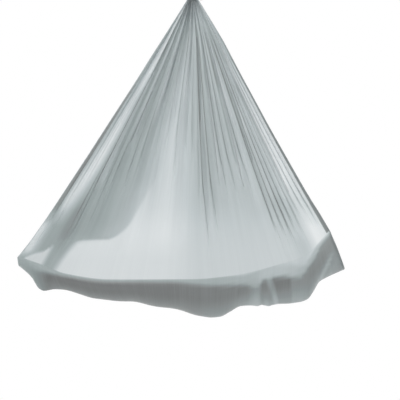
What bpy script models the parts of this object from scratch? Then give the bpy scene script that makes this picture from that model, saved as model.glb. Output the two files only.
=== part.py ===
"""Aerial yoga hammock on two ceiling plates: carabiners, daisy chains, tied knots and one cloth.

Metres, +Z up, +X towards the head end. The ceiling is the plane Z = 0, and the two hanging points
stand on the Y axis, half of HANGING_SPACING to each side of the origin.
"""

import math

import bmesh
import bpy
from mathutils import Matrix, Vector

# Clearances
SEAT_GAP = 0.0003
RUNNING_GAP = 0.0004

# Ceiling plate with its welded eye
HANGING_SPACING = 0.50
PLATE_SIDE = 0.090
PLATE_THICKNESS = 0.005
PLATE_CORNER_RADIUS = 0.014
PLATE_EDGE_CHAMFER = 0.0008
EYE_ROD_RADIUS = 0.005
EYE_RADIUS = 0.018
EYE_LEG = 0.016

# Plate bolts and washers
BOLT_SPACING = 0.062
BOLT_RADIUS = 0.004
BOLT_LENGTH = 0.050
BOLT_HEAD_WIDTH = 0.013
BOLT_HEAD_HEIGHT = 0.0053
BOLT_HEAD_CHAMFER = 0.0012
WASHER_RADIUS = 0.008
WASHER_THICKNESS = 0.0016

# Carabiners
ROD_RADIUS = 0.0055
BOW_RADIUS = 0.0255
STRAIGHT_LENGTH = 0.046
HINGE_DISTANCE = 0.016
GATE_TOP = 0.0194
TANG_THICKNESS = 0.004
TANG_WIDTH = 0.009
NOSE_KEY_LENGTH = 0.0055
SLOT_GAP = 0.0004
RIVET_RADIUS = 0.0015
RIVET_HEAD_RADIUS = 0.0024
RIVET_HEAD_HEIGHT = 0.0009
SLEEVE_WALL = 0.0022
SLEEVE_LENGTH = 0.0215
SLEEVE_OFFSET = 0.0072
SLEEVE_CHAMFER = 0.0008
SLEEVE_GROOVE_DEPTH = 0.0007
SLEEVE_GROOVE_WIDTH = 0.0012

# Daisy chains
CHAIN_SPAN = 0.300
WEBBING_WIDTH = 0.018
WEBBING_THICKNESS = 0.0022
CHAIN_EYE_LENGTH = 0.034
CHAIN_POCKETS = 4
CHAIN_TACK = 0.011
POCKET_BULGE = 0.0034
POCKET_TIP = 0.0023

# Knots in the cloth's gathered ends
BUNDLE_RADIUS = 0.0125
KNOT_LENGTH = 0.130
KNOT_SHIFT_START = 0.008
KNOT_SHIFT_END = 0.050
WRAP_START = 0.045
WRAP_GAP = 0.001
WRAP_TURNS = 1.55
WRAP_ENTRY_ANGLE = 60.0
WRAP_ENTRY_DROP = 0.015
TAIL_LENGTH = 0.050
TAIL_DROP = 0.016

# Cloth. The rim is the line where the hanging layers turn into the trough, and the keel is the
# trough's lowest line. A profile is a list of (distance towards the head end, value): the rim's
# height above RIM_DEPTH, the keel's depth below it, and half the trough's width at the rim.
CLOTH_THICKNESS = 0.004
RIM_DEPTH = 1.438
FOOT_RIM_X = -0.873
HEAD_RIM_X = 0.682
FOOT_KEEL_X = -0.866
HEAD_KEEL_X = 0.752
RIM_PROFILE = (
    (-0.873, 0.113),
    (-0.765, 0.076),
    (-0.635, 0.028),
    (-0.415, 0.000),
    (0.000, 0.002),
    (0.210, 0.022),
    (0.430, 0.076),
    (0.560, 0.120),
    (0.682, 0.242),
)
KEEL_PROFILE = (
    (-0.866, -0.068),
    (-0.800, -0.014),
    (-0.745, 0.046),
    (-0.640, 0.048),
    (-0.415, 0.100),
    (-0.060, 0.148),
    (0.095, 0.188),
    (0.275, 0.128),
    (0.420, 0.124),
    (0.540, 0.100),
    (0.635, 0.014),
    (0.752, -0.050),
)
HALF_WIDTH_PROFILE = (
    (-0.873, 0.030),
    (-0.620, 0.090),
    (-0.200, 0.172),
    (0.100, 0.200),
    (0.450, 0.192),
    (0.682, 0.168),
)
CLOTH_COLUMNS = 23
LAYER_ROWS = 9
TROUGH_ROWS = 8
ROW_CROWDING = 1.35
PLEAT_DEPTH = 0.017
PLEAT_RISE_END = 0.26
PLEAT_FADE_START = 0.45
PLEAT_FADE_END = 1.0
BUNDLE_FADE_END = 0.22

# Facets
ROUND_FACETS = 16
HOLE_FACETS = 12
BOW_FACETS = 11
EYE_FACETS = 12
LOOP_FACETS = 12
WRAP_FACETS_PER_TURN = 20
ROD_BEVEL_RESOLUTION = 3
BUNDLE_BEVEL_RESOLUTION = 2
SMOOTH_ANGLE = math.radians(40)

# Places that follow from the sizes above
EYE_BAR_Z = -(PLATE_THICKNESS + EYE_LEG + EYE_RADIUS)
CARABINER_REACH = STRAIGHT_LENGTH / 2 + BOW_RADIUS
UPPER_CARABINER_Z = EYE_BAR_Z + EYE_ROD_RADIUS + SEAT_GAP + ROD_RADIUS - CARABINER_REACH
CHAIN_TOP_Z = UPPER_CARABINER_Z - CARABINER_REACH
CHAIN_BOTTOM_Z = CHAIN_TOP_Z - CHAIN_SPAN
LOWER_CARABINER_Z = CHAIN_BOTTOM_Z - CARABINER_REACH
KNOT_Z = LOWER_CARABINER_Z - CARABINER_REACH
NECK_Z = KNOT_Z - KNOT_LENGTH - SEAT_GAP
HINGE_Z = -HINGE_DISTANCE
BOLT_HOLE_RADIUS = BOLT_RADIUS + RUNNING_GAP
SLOT_WIDTH = TANG_THICKNESS + 2 * SLOT_GAP
INNER_BOW_RADIUS = BOW_RADIUS - ROD_RADIUS

SIDES = (("front", -1), ("rear", 1))
LEVELS = (("upper", UPPER_CARABINER_Z), ("lower", LOWER_CARABINER_Z))


def clear_scene():
    for found in list(bpy.data.objects):
        bpy.data.objects.remove(found, do_unlink=True)


def make_material(name, colour, roughness, metallic):
    """A material with one Principled BSDF."""
    material = bpy.data.materials.new(name)
    material.use_nodes = True
    shader = material.node_tree.nodes["Principled BSDF"]
    shader.inputs["Base Color"].default_value = (*colour, 1.0)
    shader.inputs["Roughness"].default_value = roughness
    shader.inputs["Metallic"].default_value = metallic
    material.diffuse_color = (*colour, 1.0)
    return material


def place(name, mesh, material, location=(0.0, 0.0, 0.0), turn=Matrix.Identity(4)):
    """Puts one piece in the scene under its name, with its own copy of the material."""
    own = material.copy()
    own.name = name
    piece = bpy.data.objects.new(name, mesh.copy())
    piece.data.name = name
    piece.data.materials.clear()
    piece.data.materials.append(own)
    piece.matrix_world = Matrix.Translation(location) @ turn
    bpy.context.scene.collection.objects.link(piece)
    piece.data.shade_smooth()
    piece.data.set_sharp_from_angle(angle=SMOOTH_ANGLE)
    return piece


def finished(bm, name):
    """The mesh of a bmesh with its doubles merged and its faces pointing out."""
    bmesh.ops.remove_doubles(bm, verts=bm.verts, dist=1e-6)
    bmesh.ops.recalc_face_normals(bm, faces=bm.faces)
    if bm.calc_volume(signed=True) < 0:
        bmesh.ops.reverse_faces(bm, faces=bm.faces)
    mesh = bpy.data.meshes.new(name)
    bm.to_mesh(mesh)
    bm.free()
    return mesh


def evaluated_mesh(item):
    bpy.context.view_layer.update()
    graph = bpy.context.evaluated_depsgraph_get()
    return bpy.data.meshes.new_from_object(item.evaluated_get(graph))


def combined(base, tool, operation):
    """The mesh of base after a Boolean with tool."""
    body = bpy.data.objects.new("working_body", base)
    cutter = bpy.data.objects.new("working_tool", tool)
    for item in (body, cutter):
        bpy.context.scene.collection.objects.link(item)
    boolean = body.modifiers.new(operation.lower(), "BOOLEAN")
    boolean.operation = operation
    boolean.object = cutter
    result = evaluated_mesh(body)
    for item in (body, cutter):
        bpy.data.objects.remove(item)
    return result


def block(low, high):
    """A box between two corners."""
    bm = bmesh.new()
    size = Vector(high) - Vector(low)
    middle = (Vector(high) + Vector(low)) / 2
    bmesh.ops.create_cube(bm, size=1.0)
    bmesh.ops.scale(bm, vec=size, verts=bm.verts)
    bmesh.ops.translate(bm, vec=middle, verts=bm.verts)
    return finished(bm, "block")


def rod_between(start, end, radius, facets):
    """A straight round rod with flat ends."""
    start, end = Vector(start), Vector(end)
    bm = bmesh.new()
    turn = (end - start).to_track_quat("Z", "Y").to_matrix().to_4x4()
    bmesh.ops.create_cone(
        bm,
        cap_ends=True,
        segments=facets,
        radius1=radius,
        radius2=radius,
        depth=(end - start).length,
        matrix=Matrix.Translation((start + end) / 2) @ turn,
    )
    return finished(bm, "rod")


def swept_rod(points, radius, resolution):
    """A round rod along a list of points, with flat ends."""
    curve = bpy.data.curves.new("working_rod", "CURVE")
    curve.dimensions = "3D"
    curve.bevel_depth = radius
    curve.bevel_resolution = resolution
    curve.use_fill_caps = True
    spline = curve.splines.new("POLY")
    spline.points.add(len(points) - 1)
    for knot, point in zip(spline.points, points):
        knot.co = (*point, 1.0)
    item = bpy.data.objects.new("working_rod", curve)
    bpy.context.scene.collection.objects.link(item)
    mesh = evaluated_mesh(item)
    bpy.data.objects.remove(item)
    bm = bmesh.new()
    bm.from_mesh(mesh)
    return finished(bm, "swept_rod")


def turned(profile, facets):
    """A solid turned about Z from (radius, height) points. A closed profile gives a ring."""
    bm = bmesh.new()
    points = [bm.verts.new((radius, 0.0, height)) for radius, height in profile]
    edges = [bm.edges.new(pair) for pair in zip(points, points[1:])]
    bmesh.ops.spin(
        bm,
        geom=points + edges,
        cent=(0.0, 0.0, 0.0),
        axis=(0.0, 0.0, 1.0),
        angle=2 * math.pi,
        steps=facets,
        use_merge=True,
    )
    return finished(bm, "turned")


def arc(centre, radius, start_degrees, end_degrees, steps):
    """Points of an arc as (across, up) pairs."""
    found = []
    for step in range(steps + 1):
        angle = math.radians(start_degrees + (end_degrees - start_degrees) * step / steps)
        found.append(
            (centre[0] + radius * math.cos(angle), centre[1] + radius * math.sin(angle))
        )
    return found


def smooth_step(low, high, value):
    share = min(1.0, max(0.0, (value - low) / (high - low)))
    return share * share * (3 - 2 * share)


def smooth_profile(points, x):
    """The height at x of a smooth curve through (x, height) points, with no overshoot."""
    if x <= points[0][0]:
        return points[0][1]
    slopes = [(b[1] - a[1]) / (b[0] - a[0]) for a, b in zip(points, points[1:])]
    tangents = [slopes[0]]
    for before, after in zip(slopes, slopes[1:]):
        level = before * after <= 0
        tangents.append(0.0 if level else 2 * before * after / (before + after))
    tangents.append(slopes[-1])
    for index, (a, b) in enumerate(zip(points, points[1:])):
        if x <= b[0]:
            width = b[0] - a[0]
            s = (x - a[0]) / width
            rise = s * s * (3 - 2 * s)
            return (
                a[1] * (1 - rise)
                + b[1] * rise
                + width * tangents[index] * s * (1 - s) ** 2
                - width * tangents[index + 1] * s * s * (1 - s)
            )
    return points[-1][1]


def ceiling_plate_mesh():
    """A square plate with round corners and four bolt holes, and the eye welded under it."""
    half = PLATE_SIDE / 2
    inset = half - PLATE_CORNER_RADIUS
    outline = []
    for corner, (sx, sy) in enumerate(((1, 1), (-1, 1), (-1, -1), (1, -1))):
        centre = (sx * inset, sy * inset)
        outline += arc(centre, PLATE_CORNER_RADIUS, 90 * corner, 90 * corner + 90, 4)
    bm = bmesh.new()
    lower = bm.faces.new([bm.verts.new((x, y, -PLATE_THICKNESS)) for x, y in outline])
    raised = bmesh.ops.extrude_face_region(bm, geom=[lower])["geom"]
    top = [item for item in raised if isinstance(item, bmesh.types.BMVert)]
    bmesh.ops.translate(bm, vec=(0.0, 0.0, PLATE_THICKNESS), verts=top)
    rim = [edge for edge in bm.edges if all(v.co.z < -PLATE_THICKNESS / 2 for v in edge.verts)]
    bmesh.ops.bevel(bm, geom=rim, offset=PLATE_EDGE_CHAMFER, segments=1, affect="EDGES")
    plate = finished(bm, "plate")
    for x, y in bolt_places():
        hole = rod_between(
            (x, y, -2 * PLATE_THICKNESS),
            (x, y, PLATE_THICKNESS),
            BOLT_HOLE_RADIUS,
            HOLE_FACETS,
        )
        plate = combined(plate, hole, "DIFFERENCE")
    centre_z = -(PLATE_THICKNESS + EYE_LEG)
    route = [(0.0, -EYE_RADIUS, -PLATE_THICKNESS / 2)]
    route += [(0.0, y, z) for y, z in arc((0.0, centre_z), EYE_RADIUS, 180, 360, EYE_FACETS)]
    route += [(0.0, EYE_RADIUS, -PLATE_THICKNESS / 2)]
    eye = swept_rod(route, EYE_ROD_RADIUS, ROD_BEVEL_RESOLUTION)
    return combined(plate, eye, "UNION")


def bolt_places():
    half = BOLT_SPACING / 2
    return [(sx * half, sy * half) for sx, sy in ((-1, -1), (1, -1), (1, 1), (-1, 1))]


def washer_mesh():
    """A flat washer whose top face is at the origin's height."""
    inner, outer = BOLT_HOLE_RADIUS, WASHER_RADIUS
    profile = (
        (inner, 0.0),
        (outer, 0.0),
        (outer, -WASHER_THICKNESS),
        (inner, -WASHER_THICKNESS),
        (inner, 0.0),
    )
    return turned(profile, HOLE_FACETS)


def bolt_mesh():
    """A hexagon bolt pointing up, with the seat of its head at the origin's height."""
    corner_radius = BOLT_HEAD_WIDTH / math.sqrt(3)
    bm = bmesh.new()
    bmesh.ops.create_cone(
        bm,
        cap_ends=True,
        segments=6,
        radius1=corner_radius,
        radius2=corner_radius,
        depth=BOLT_HEAD_HEIGHT,
        matrix=Matrix.Translation((0.0, 0.0, -BOLT_HEAD_HEIGHT / 2)),
    )
    foot = [e for e in bm.edges if all(v.co.z < -BOLT_HEAD_HEIGHT / 2 for v in e.verts)]
    bmesh.ops.bevel(bm, geom=foot, offset=BOLT_HEAD_CHAMFER, segments=1, affect="EDGES")
    head = finished(bm, "bolt_head")
    point = BOLT_RADIUS / 2
    profile = (
        (0.0, -BOLT_HEAD_HEIGHT / 2),
        (BOLT_RADIUS, -BOLT_HEAD_HEIGHT / 2),
        (BOLT_RADIUS, BOLT_LENGTH - point),
        (BOLT_RADIUS - point, BOLT_LENGTH),
        (0.0, BOLT_LENGTH),
    )
    return combined(head, turned(profile, HOLE_FACETS), "UNION")


def carabiner_mesh():
    """The bent rod of an oval carabiner in the XZ plane, with the gate's side towards -X."""
    middle = STRAIGHT_LENGTH / 2
    nose_z = GATE_TOP + SLOT_GAP
    shoulder_z = HINGE_Z - ROD_RADIUS - SLOT_GAP
    route = [(-BOW_RADIUS, nose_z)]
    route += arc((0.0, middle), BOW_RADIUS, 180, 0, BOW_FACETS)
    route += arc((0.0, -middle), BOW_RADIUS, 0, -180, BOW_FACETS)
    route += [(-BOW_RADIUS, shoulder_z)]
    rod = swept_rod([(x, 0.0, z) for x, z in route], ROD_RADIUS, ROD_BEVEL_RESOLUTION)
    half = TANG_THICKNESS / 2
    left, right = -BOW_RADIUS - TANG_WIDTH / 2, -BOW_RADIUS + TANG_WIDTH / 2
    key = block(
        (left, -half, nose_z - NOSE_KEY_LENGTH), (right, half, nose_z + TANG_THICKNESS)
    )
    tang = block((left, -half, shoulder_z - TANG_THICKNESS), (right, half, HINGE_Z))
    knuckle = rod_between(
        (-BOW_RADIUS, -half, HINGE_Z),
        (-BOW_RADIUS, half, HINGE_Z),
        TANG_WIDTH / 2,
        ROUND_FACETS,
    )
    body = rod
    for part in (key, tang, knuckle):
        body = combined(body, part, "UNION")
    return combined(body, rivet_hole(TANG_THICKNESS), "DIFFERENCE")


def rivet_hole(depth):
    return rod_between(
        (-BOW_RADIUS, -depth, HINGE_Z),
        (-BOW_RADIUS, depth, HINGE_Z),
        RIVET_RADIUS + RUNNING_GAP,
        HOLE_FACETS,
    )


def gate_mesh():
    """The gate: a round bar with a domed foot on the rivet, slotted for the tang and the nose key."""
    dome = [
        (ROD_RADIUS * math.sin(angle), HINGE_Z - ROD_RADIUS * math.cos(angle))
        for angle in [math.radians(18 * step) for step in range(6)]
    ]
    edge = SLOT_GAP
    profile = dome + [(ROD_RADIUS, GATE_TOP - edge), (ROD_RADIUS - edge, GATE_TOP), (0.0, GATE_TOP)]
    gate = turned(profile, ROUND_FACETS)
    gate.transform(Matrix.Translation((-BOW_RADIUS, 0.0, 0.0)))
    half = SLOT_WIDTH / 2
    reach = 2 * ROD_RADIUS
    left, right = -BOW_RADIUS - reach, -BOW_RADIUS + reach
    hinge_slot = block(
        (left, -half, HINGE_Z - reach), (right, half, HINGE_Z + TANG_WIDTH / 2 + SLOT_GAP)
    )
    nose_slot = block(
        (left, -half, GATE_TOP - NOSE_KEY_LENGTH - SLOT_GAP), (right, half, GATE_TOP + reach)
    )
    for tool in (hinge_slot, nose_slot, rivet_hole(ROD_RADIUS + SEAT_GAP)):
        gate = combined(gate, tool, "DIFFERENCE")
    return gate


def rivet_mesh():
    """The gate's rivet, domed at both ends."""
    seat = ROD_RADIUS + SEAT_GAP
    end = seat + RIVET_HEAD_HEIGHT
    flat = RIVET_HEAD_RADIUS * 0.6
    half_profile = [
        (RIVET_RADIUS, seat),
        (RIVET_HEAD_RADIUS, seat),
        (flat, end),
        (0.0, end),
    ]
    profile = [(radius, -height) for radius, height in reversed(half_profile)] + half_profile
    rivet = turned(profile, HOLE_FACETS)
    rivet.transform(Matrix.Rotation(math.radians(90), 4, "X"))
    rivet.transform(Matrix.Translation((-BOW_RADIUS, 0.0, HINGE_Z)))
    return rivet


def sleeve_mesh():
    """The screw lock's sleeve round the gate, unscrewed, with a grip groove near each end."""
    inner = ROD_RADIUS + RUNNING_GAP
    outer = inner + SLEEVE_WALL
    low = HINGE_Z + SLEEVE_OFFSET
    high = low + SLEEVE_LENGTH
    groove = outer - SLEEVE_GROOVE_DEPTH
    lower_groove = low + 2 * SLEEVE_CHAMFER
    upper_groove = high - 2 * SLEEVE_CHAMFER
    profile = (
        (inner, low),
        (outer - SLEEVE_CHAMFER, low),
        (outer, low + SLEEVE_CHAMFER),
        (outer, lower_groove),
        (groove, lower_groove + SLEEVE_GROOVE_WIDTH / 2),
        (outer, lower_groove + SLEEVE_GROOVE_WIDTH),
        (outer, upper_groove - SLEEVE_GROOVE_WIDTH),
        (groove, upper_groove - SLEEVE_GROOVE_WIDTH / 2),
        (outer, upper_groove),
        (outer, high - SLEEVE_CHAMFER),
        (outer - SLEEVE_CHAMFER, high),
        (inner, high),
        (inner, low),
    )
    sleeve = turned(profile, ROUND_FACETS)
    sleeve.transform(Matrix.Translation((-BOW_RADIUS, 0.0, 0.0)))
    return sleeve


def chain_eye(radius, rod_z, up):
    """The points of a strap's loop round a rod, from one side over the far end to the other.

    The loop's straight sides run to a point CHAIN_EYE_LENGTH from the rod. up is 1 for the loop at
    the strap's top and -1 for the one at its bottom.
    """
    lean = math.degrees(math.asin(chain_eye_radius() / CHAIN_EYE_LENGTH))
    points = arc((0.0, 0.0), radius, -lean, 180 + lean, ROUND_FACETS)
    return [(across, rod_z + up * height) for across, height in points]


def chain_eye_radius():
    """Clears a rod that curves up across the width of the webbing."""
    reach = INNER_BOW_RADIUS
    rise = BOW_RADIUS - math.sqrt(reach * reach - (WEBBING_WIDTH / 2) ** 2)
    return rise + SEAT_GAP


def daisy_chain_mesh():
    """The sewn strap seen along X: two layers of webbing, an eye at each end and pockets between."""
    radius = chain_eye_radius()
    sheet = WEBBING_THICKNESS
    lean = math.asin(radius / CHAIN_EYE_LENGTH)
    join = CHAIN_EYE_LENGTH + sheet * math.tan(lean / 2)
    start, end = -join, join - CHAIN_SPAN
    pitch = (start - end) / CHAIN_POCKETS
    outer = chain_eye(radius + sheet, 0.0, 1)
    pockets = []
    left_side = []
    for pocket in range(CHAIN_POCKETS):
        top = start - pitch * pocket - CHAIN_TACK / 2
        length = pitch - CHAIN_TACK
        bulge = []
        for step in range(9):
            share = step / 8
            bulge.append((POCKET_BULGE * math.sin(math.pi * share) ** 2, top - length * share))
        left_side += [(-sheet - out, height) for out, height in bulge]
        inside = [(-out, height) for out, height in bulge[1:-1]]
        tips = [(0.0, top - POCKET_TIP), (0.0, top - length + POCKET_TIP)]
        pockets.append(tips[:1] + inside + tips[1:])
    outer += [(-sheet, start)] + left_side + [(-sheet, end)]
    outer += reversed(chain_eye(radius + sheet, -CHAIN_SPAN, -1))
    outer += [(sheet, end), (sheet, start)]
    top_tip = [(0.0, -CHAIN_EYE_LENGTH)]
    bottom_tip = [(0.0, CHAIN_EYE_LENGTH - CHAIN_SPAN)]
    holes = [chain_eye(radius, 0.0, 1) + top_tip]
    holes += [chain_eye(radius, -CHAIN_SPAN, -1) + bottom_tip]
    mesh = plate_with_holes(outer, holes + pockets, WEBBING_WIDTH)
    # The profile was drawn in X and Y, and stands in Y and Z.
    mesh.transform(Matrix(((0, 0, 1, 0), (1, 0, 0, 0), (0, 1, 0, 0), (0, 0, 0, 1))))
    return mesh


def outline_solid(outline, thickness):
    """A flat outline given a thickness to both sides of its plane."""
    bm = bmesh.new()
    lower = bm.faces.new([bm.verts.new((x, y, -thickness / 2)) for x, y in outline])
    raised = bmesh.ops.extrude_face_region(bm, geom=[lower])["geom"]
    top = [item for item in raised if isinstance(item, bmesh.types.BMVert)]
    bmesh.ops.translate(bm, vec=(0.0, 0.0, thickness), verts=top)
    return finished(bm, "outline_solid")


def plate_with_holes(outer, holes, thickness):
    plate = outline_solid(outer, thickness)
    for hole in holes:
        plate = combined(plate, outline_solid(hole, 2 * thickness), "DIFFERENCE")
    return plate


def knot_route():
    """The middle line of the gathered cloth, from the neck up, over the carabiner and round itself.

    The carabiner's rod crosses the YZ plane at the origin.
    """
    loop = ROD_RADIUS + SEAT_GAP + BUNDLE_RADIUS
    wrap = 2 * BUNDLE_RADIUS + WRAP_GAP
    route = [(0.0, 0.0, -KNOT_LENGTH), (0.0, 0.0, -(KNOT_LENGTH + KNOT_SHIFT_END) / 2)]
    for step in range(6):
        depth = KNOT_SHIFT_END + (KNOT_SHIFT_START - KNOT_SHIFT_END) * step / 5
        share = smooth_step(KNOT_SHIFT_END, KNOT_SHIFT_START, depth)
        route.append((0.0, loop * share, -depth))
    route += [(0.0, y, z) for y, z in arc((0.0, 0.0), loop, 0, 180, LOOP_FACETS)]
    for step in range(1, 4):
        depth = WRAP_START * step / 4
        share = smooth_step(0.0, WRAP_START, depth)
        route.append((0.0, -loop + (loop - wrap) * share, -depth))
    entry = math.radians(WRAP_ENTRY_ANGLE)
    per_radian = wrap / (2 * math.pi)
    depth = WRAP_START
    for step in range(6):
        share = step / 5
        angle = entry * share * share
        sink = 2 * entry * per_radian * share + WRAP_ENTRY_DROP * (2 * share - share * share)
        route.append((wrap * math.sin(angle), -wrap * math.cos(angle), -depth - sink))
    depth += 2 * entry * per_radian + WRAP_ENTRY_DROP
    steps = round(WRAP_TURNS * WRAP_FACETS_PER_TURN)
    for step in range(1, steps + 1):
        sweep = 2 * math.pi * WRAP_TURNS * step / steps
        angle = entry + sweep
        z = -depth - per_radian * sweep
        route.append((wrap * math.sin(angle), -wrap * math.cos(angle), z))
    last = Vector(route[-1])
    out = (last - Vector(route[-2])).normalized()
    for step in range(1, 5):
        share = step / 4
        sag = Vector((0.0, 0.0, -TAIL_DROP * share * share))
        route.append(tuple(last + out * TAIL_LENGTH * share + sag))
    return route


def least_gap(route, radius, apart):
    """The least gap between stretches of a tube that are more than apart away along it."""
    points = [Vector(point) for point in route]
    along = [0.0]
    for a, b in zip(points, points[1:]):
        along.append(along[-1] + (b - a).length)
    return min(
        (points[i] - points[j]).length - 2 * radius
        for i in range(len(points))
        for j in range(i)
        if along[i] - along[j] > apart
    )


def knot_mesh():
    route = knot_route()
    gap = least_gap(route, BUNDLE_RADIUS, 5 * BUNDLE_RADIUS)
    print(f"least gap between the knot's turns: {gap * 1000:.2f} mm")
    return swept_rod(route, BUNDLE_RADIUS, BUNDLE_BEVEL_RESOLUTION)


def apex_rise():
    """How far above the neck the cloth's edges would meet."""
    spread = smooth_slope(1.0) - smooth_slope(0.0)
    return 2 * BUNDLE_RADIUS / spread


def rim_depth_at(x):
    """How far the rim lies below the fan's apex."""
    return RIM_DEPTH - smooth_profile(RIM_PROFILE, x)


def smooth_slope(share):
    """How far across a fold line runs for each metre down, at a share of the cloth's width."""
    x = FOOT_RIM_X + (HEAD_RIM_X - FOOT_RIM_X) * share
    return x / rim_depth_at(x)


def pleat(column, side):
    """How far the fold line of a column stands out, from -1 to 1: the crests and valleys alternate."""
    if column in (0, CLOTH_COLUMNS - 1):
        return 0.0
    way = 1 if column % 2 else -1
    return way * side * (0.62 + 0.38 * math.sin(1.9 * column + (2.0 if side > 0 else 0.4)))


def cloth_point(column, row):
    """The middle of the sheet, and half its thickness as a vector, at a column and a row."""
    share = column / (CLOTH_COLUMNS - 1)
    slope = smooth_slope(share)
    rim_x = FOOT_RIM_X + (HEAD_RIM_X - FOOT_RIM_X) * share
    rim_depth = rim_depth_at(rim_x)
    half_width = smooth_profile(HALF_WIDTH_PROFILE, rim_x)
    rise = apex_rise()
    if row <= LAYER_ROWS or row >= LAYER_ROWS + TROUGH_ROWS:
        side = -1 if row <= LAYER_ROWS else 1
        last = 2 * LAYER_ROWS + TROUGH_ROWS
        down = ((row if side < 0 else last - row) / LAYER_ROWS) ** ROW_CROWDING
        depth = rise + (rim_depth - rise) * down
        x = slope * depth
        y = HANGING_SPACING / 2 + (half_width - HANGING_SPACING / 2) * down
        shown = smooth_step(0.0, PLEAT_RISE_END, down)
        shown *= 1 - smooth_step(PLEAT_FADE_START, PLEAT_FADE_END, down)
        y += PLEAT_DEPTH * pleat(column, side) * shown
        middle = Vector((x, side * y, NECK_Z + rise - depth))
        across = (2 * share - 1) ** 2
        bundle = 2 * BUNDLE_RADIUS * math.sqrt(max(0.0, 1 - across))
        gathered = 1 - smooth_step(0.0, BUNDLE_FADE_END, down)
        thickness = CLOTH_THICKNESS + max(0.0, bundle - CLOTH_THICKNESS) * gathered
        return middle, Vector((0.0, side * thickness / 2, 0.0))
    keel_x = FOOT_KEEL_X + (HEAD_KEEL_X - FOOT_KEEL_X) * share
    keel_depth = RIM_DEPTH + smooth_profile(KEEL_PROFILE, keel_x)
    angle = math.pi * (row - LAYER_ROWS) / TROUGH_ROWS
    sunk = math.sin(angle)
    x = rim_x + (keel_x - rim_x) * sunk
    depth = rim_depth + (keel_depth - rim_depth) * sunk
    middle = Vector((x, -half_width * math.cos(angle), NECK_Z + rise - depth))
    out = Vector((0.0, -math.cos(angle), -math.sin(angle)))
    return middle, out * CLOTH_THICKNESS / 2


def cloth_mesh():
    """One sheet from neck to neck: down in front, round under the trough and up behind."""
    rows = 2 * LAYER_ROWS + TROUGH_ROWS + 1
    bm = bmesh.new()
    outer, inner = [], []
    for row in range(rows):
        spots = [cloth_point(column, row) for column in range(CLOTH_COLUMNS)]
        outer.append([bm.verts.new(middle + half) for middle, half in spots])
        inner.append([bm.verts.new(middle - half) for middle, half in spots])
    for row in range(rows - 1):
        for column in range(CLOTH_COLUMNS - 1):
            for skin in (outer, inner):
                bm.faces.new(
                    (
                        skin[row][column],
                        skin[row][column + 1],
                        skin[row + 1][column + 1],
                        skin[row + 1][column],
                    )
                )
        for column in (0, CLOTH_COLUMNS - 1):
            bm.faces.new(
                (
                    outer[row][column],
                    outer[row + 1][column],
                    inner[row + 1][column],
                    inner[row][column],
                )
            )
    for row in (0, rows - 1):
        for column in range(CLOTH_COLUMNS - 1):
            bm.faces.new(
                (
                    outer[row][column],
                    outer[row][column + 1],
                    inner[row][column + 1],
                    inner[row][column],
                )
            )
    return finished(bm, "cloth")


def build():
    clear_scene()
    powder_black = make_material("powder_black", (0.03, 0.03, 0.032), 0.45, 0.0)
    zinc = make_material("zinc", (0.62, 0.63, 0.65), 0.35, 1.0)
    steel = make_material("steel", (0.55, 0.56, 0.58), 0.28, 1.0)
    sleeve_steel = make_material("sleeve_steel", (0.40, 0.41, 0.43), 0.38, 1.0)
    webbing = make_material("webbing", (0.025, 0.025, 0.028), 0.85, 0.0)
    tricot = make_material("tricot", (0.47, 0.53, 0.52), 0.5, 0.0)

    plate = ceiling_plate_mesh()
    washer = washer_mesh()
    bolt = bolt_mesh()
    body = carabiner_mesh()
    gate = gate_mesh()
    rivet = rivet_mesh()
    sleeve = sleeve_mesh()
    chain = daisy_chain_mesh()
    knot = knot_mesh()
    # The carabiners hang with their noses down, so each is turned over about Y.
    nose_down = Matrix.Rotation(math.pi, 4, "Y")
    washer_z = -PLATE_THICKNESS - SEAT_GAP
    head_z = washer_z - WASHER_THICKNESS - SEAT_GAP

    for side, sign in SIDES:
        y = sign * HANGING_SPACING / 2
        place(f"ceiling_plate_{side}", plate, powder_black, (0.0, y, 0.0))
        for number, (bolt_x, bolt_y) in enumerate(bolt_places(), start=1):
            at = (bolt_x, y + bolt_y, washer_z)
            place(f"plate_washer_{side}_{number}", washer, zinc, at)
            place(f"plate_bolt_{side}_{number}", bolt, zinc, (at[0], at[1], head_z))
        for level, z in LEVELS:
            at = (0.0, y, z)
            place(f"carabiner_{side}_{level}", body, steel, at, nose_down)
            place(f"gate_{side}_{level}", gate, steel, at, nose_down)
            place(f"gate_rivet_{side}_{level}", rivet, steel, at, nose_down)
            place(f"lock_sleeve_{side}_{level}", sleeve, sleeve_steel, at, nose_down)
        facing = Matrix.Identity(4) if sign < 0 else Matrix.Rotation(math.pi, 4, "Z")
        place(f"daisy_chain_{side}", chain, webbing, (0.0, y, CHAIN_TOP_Z), facing)
        place(f"knot_{side}", knot, tricot, (0.0, y, KNOT_Z), facing)
    place("hammock_cloth", cloth_mesh(), tricot)


build()
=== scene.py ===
"""Looks of the aerial yoga hammock: cloth, knots, daisy chains, carabiners and ceiling plates.

Metres, +Z up, +X towards the head end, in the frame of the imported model.
"""

import logging
import math
from dataclasses import dataclass
from enum import Enum
from functools import cached_property
from typing import Any, Callable, Sequence

import bpy
import numpy as np
from mathutils import Matrix, Vector


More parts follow.
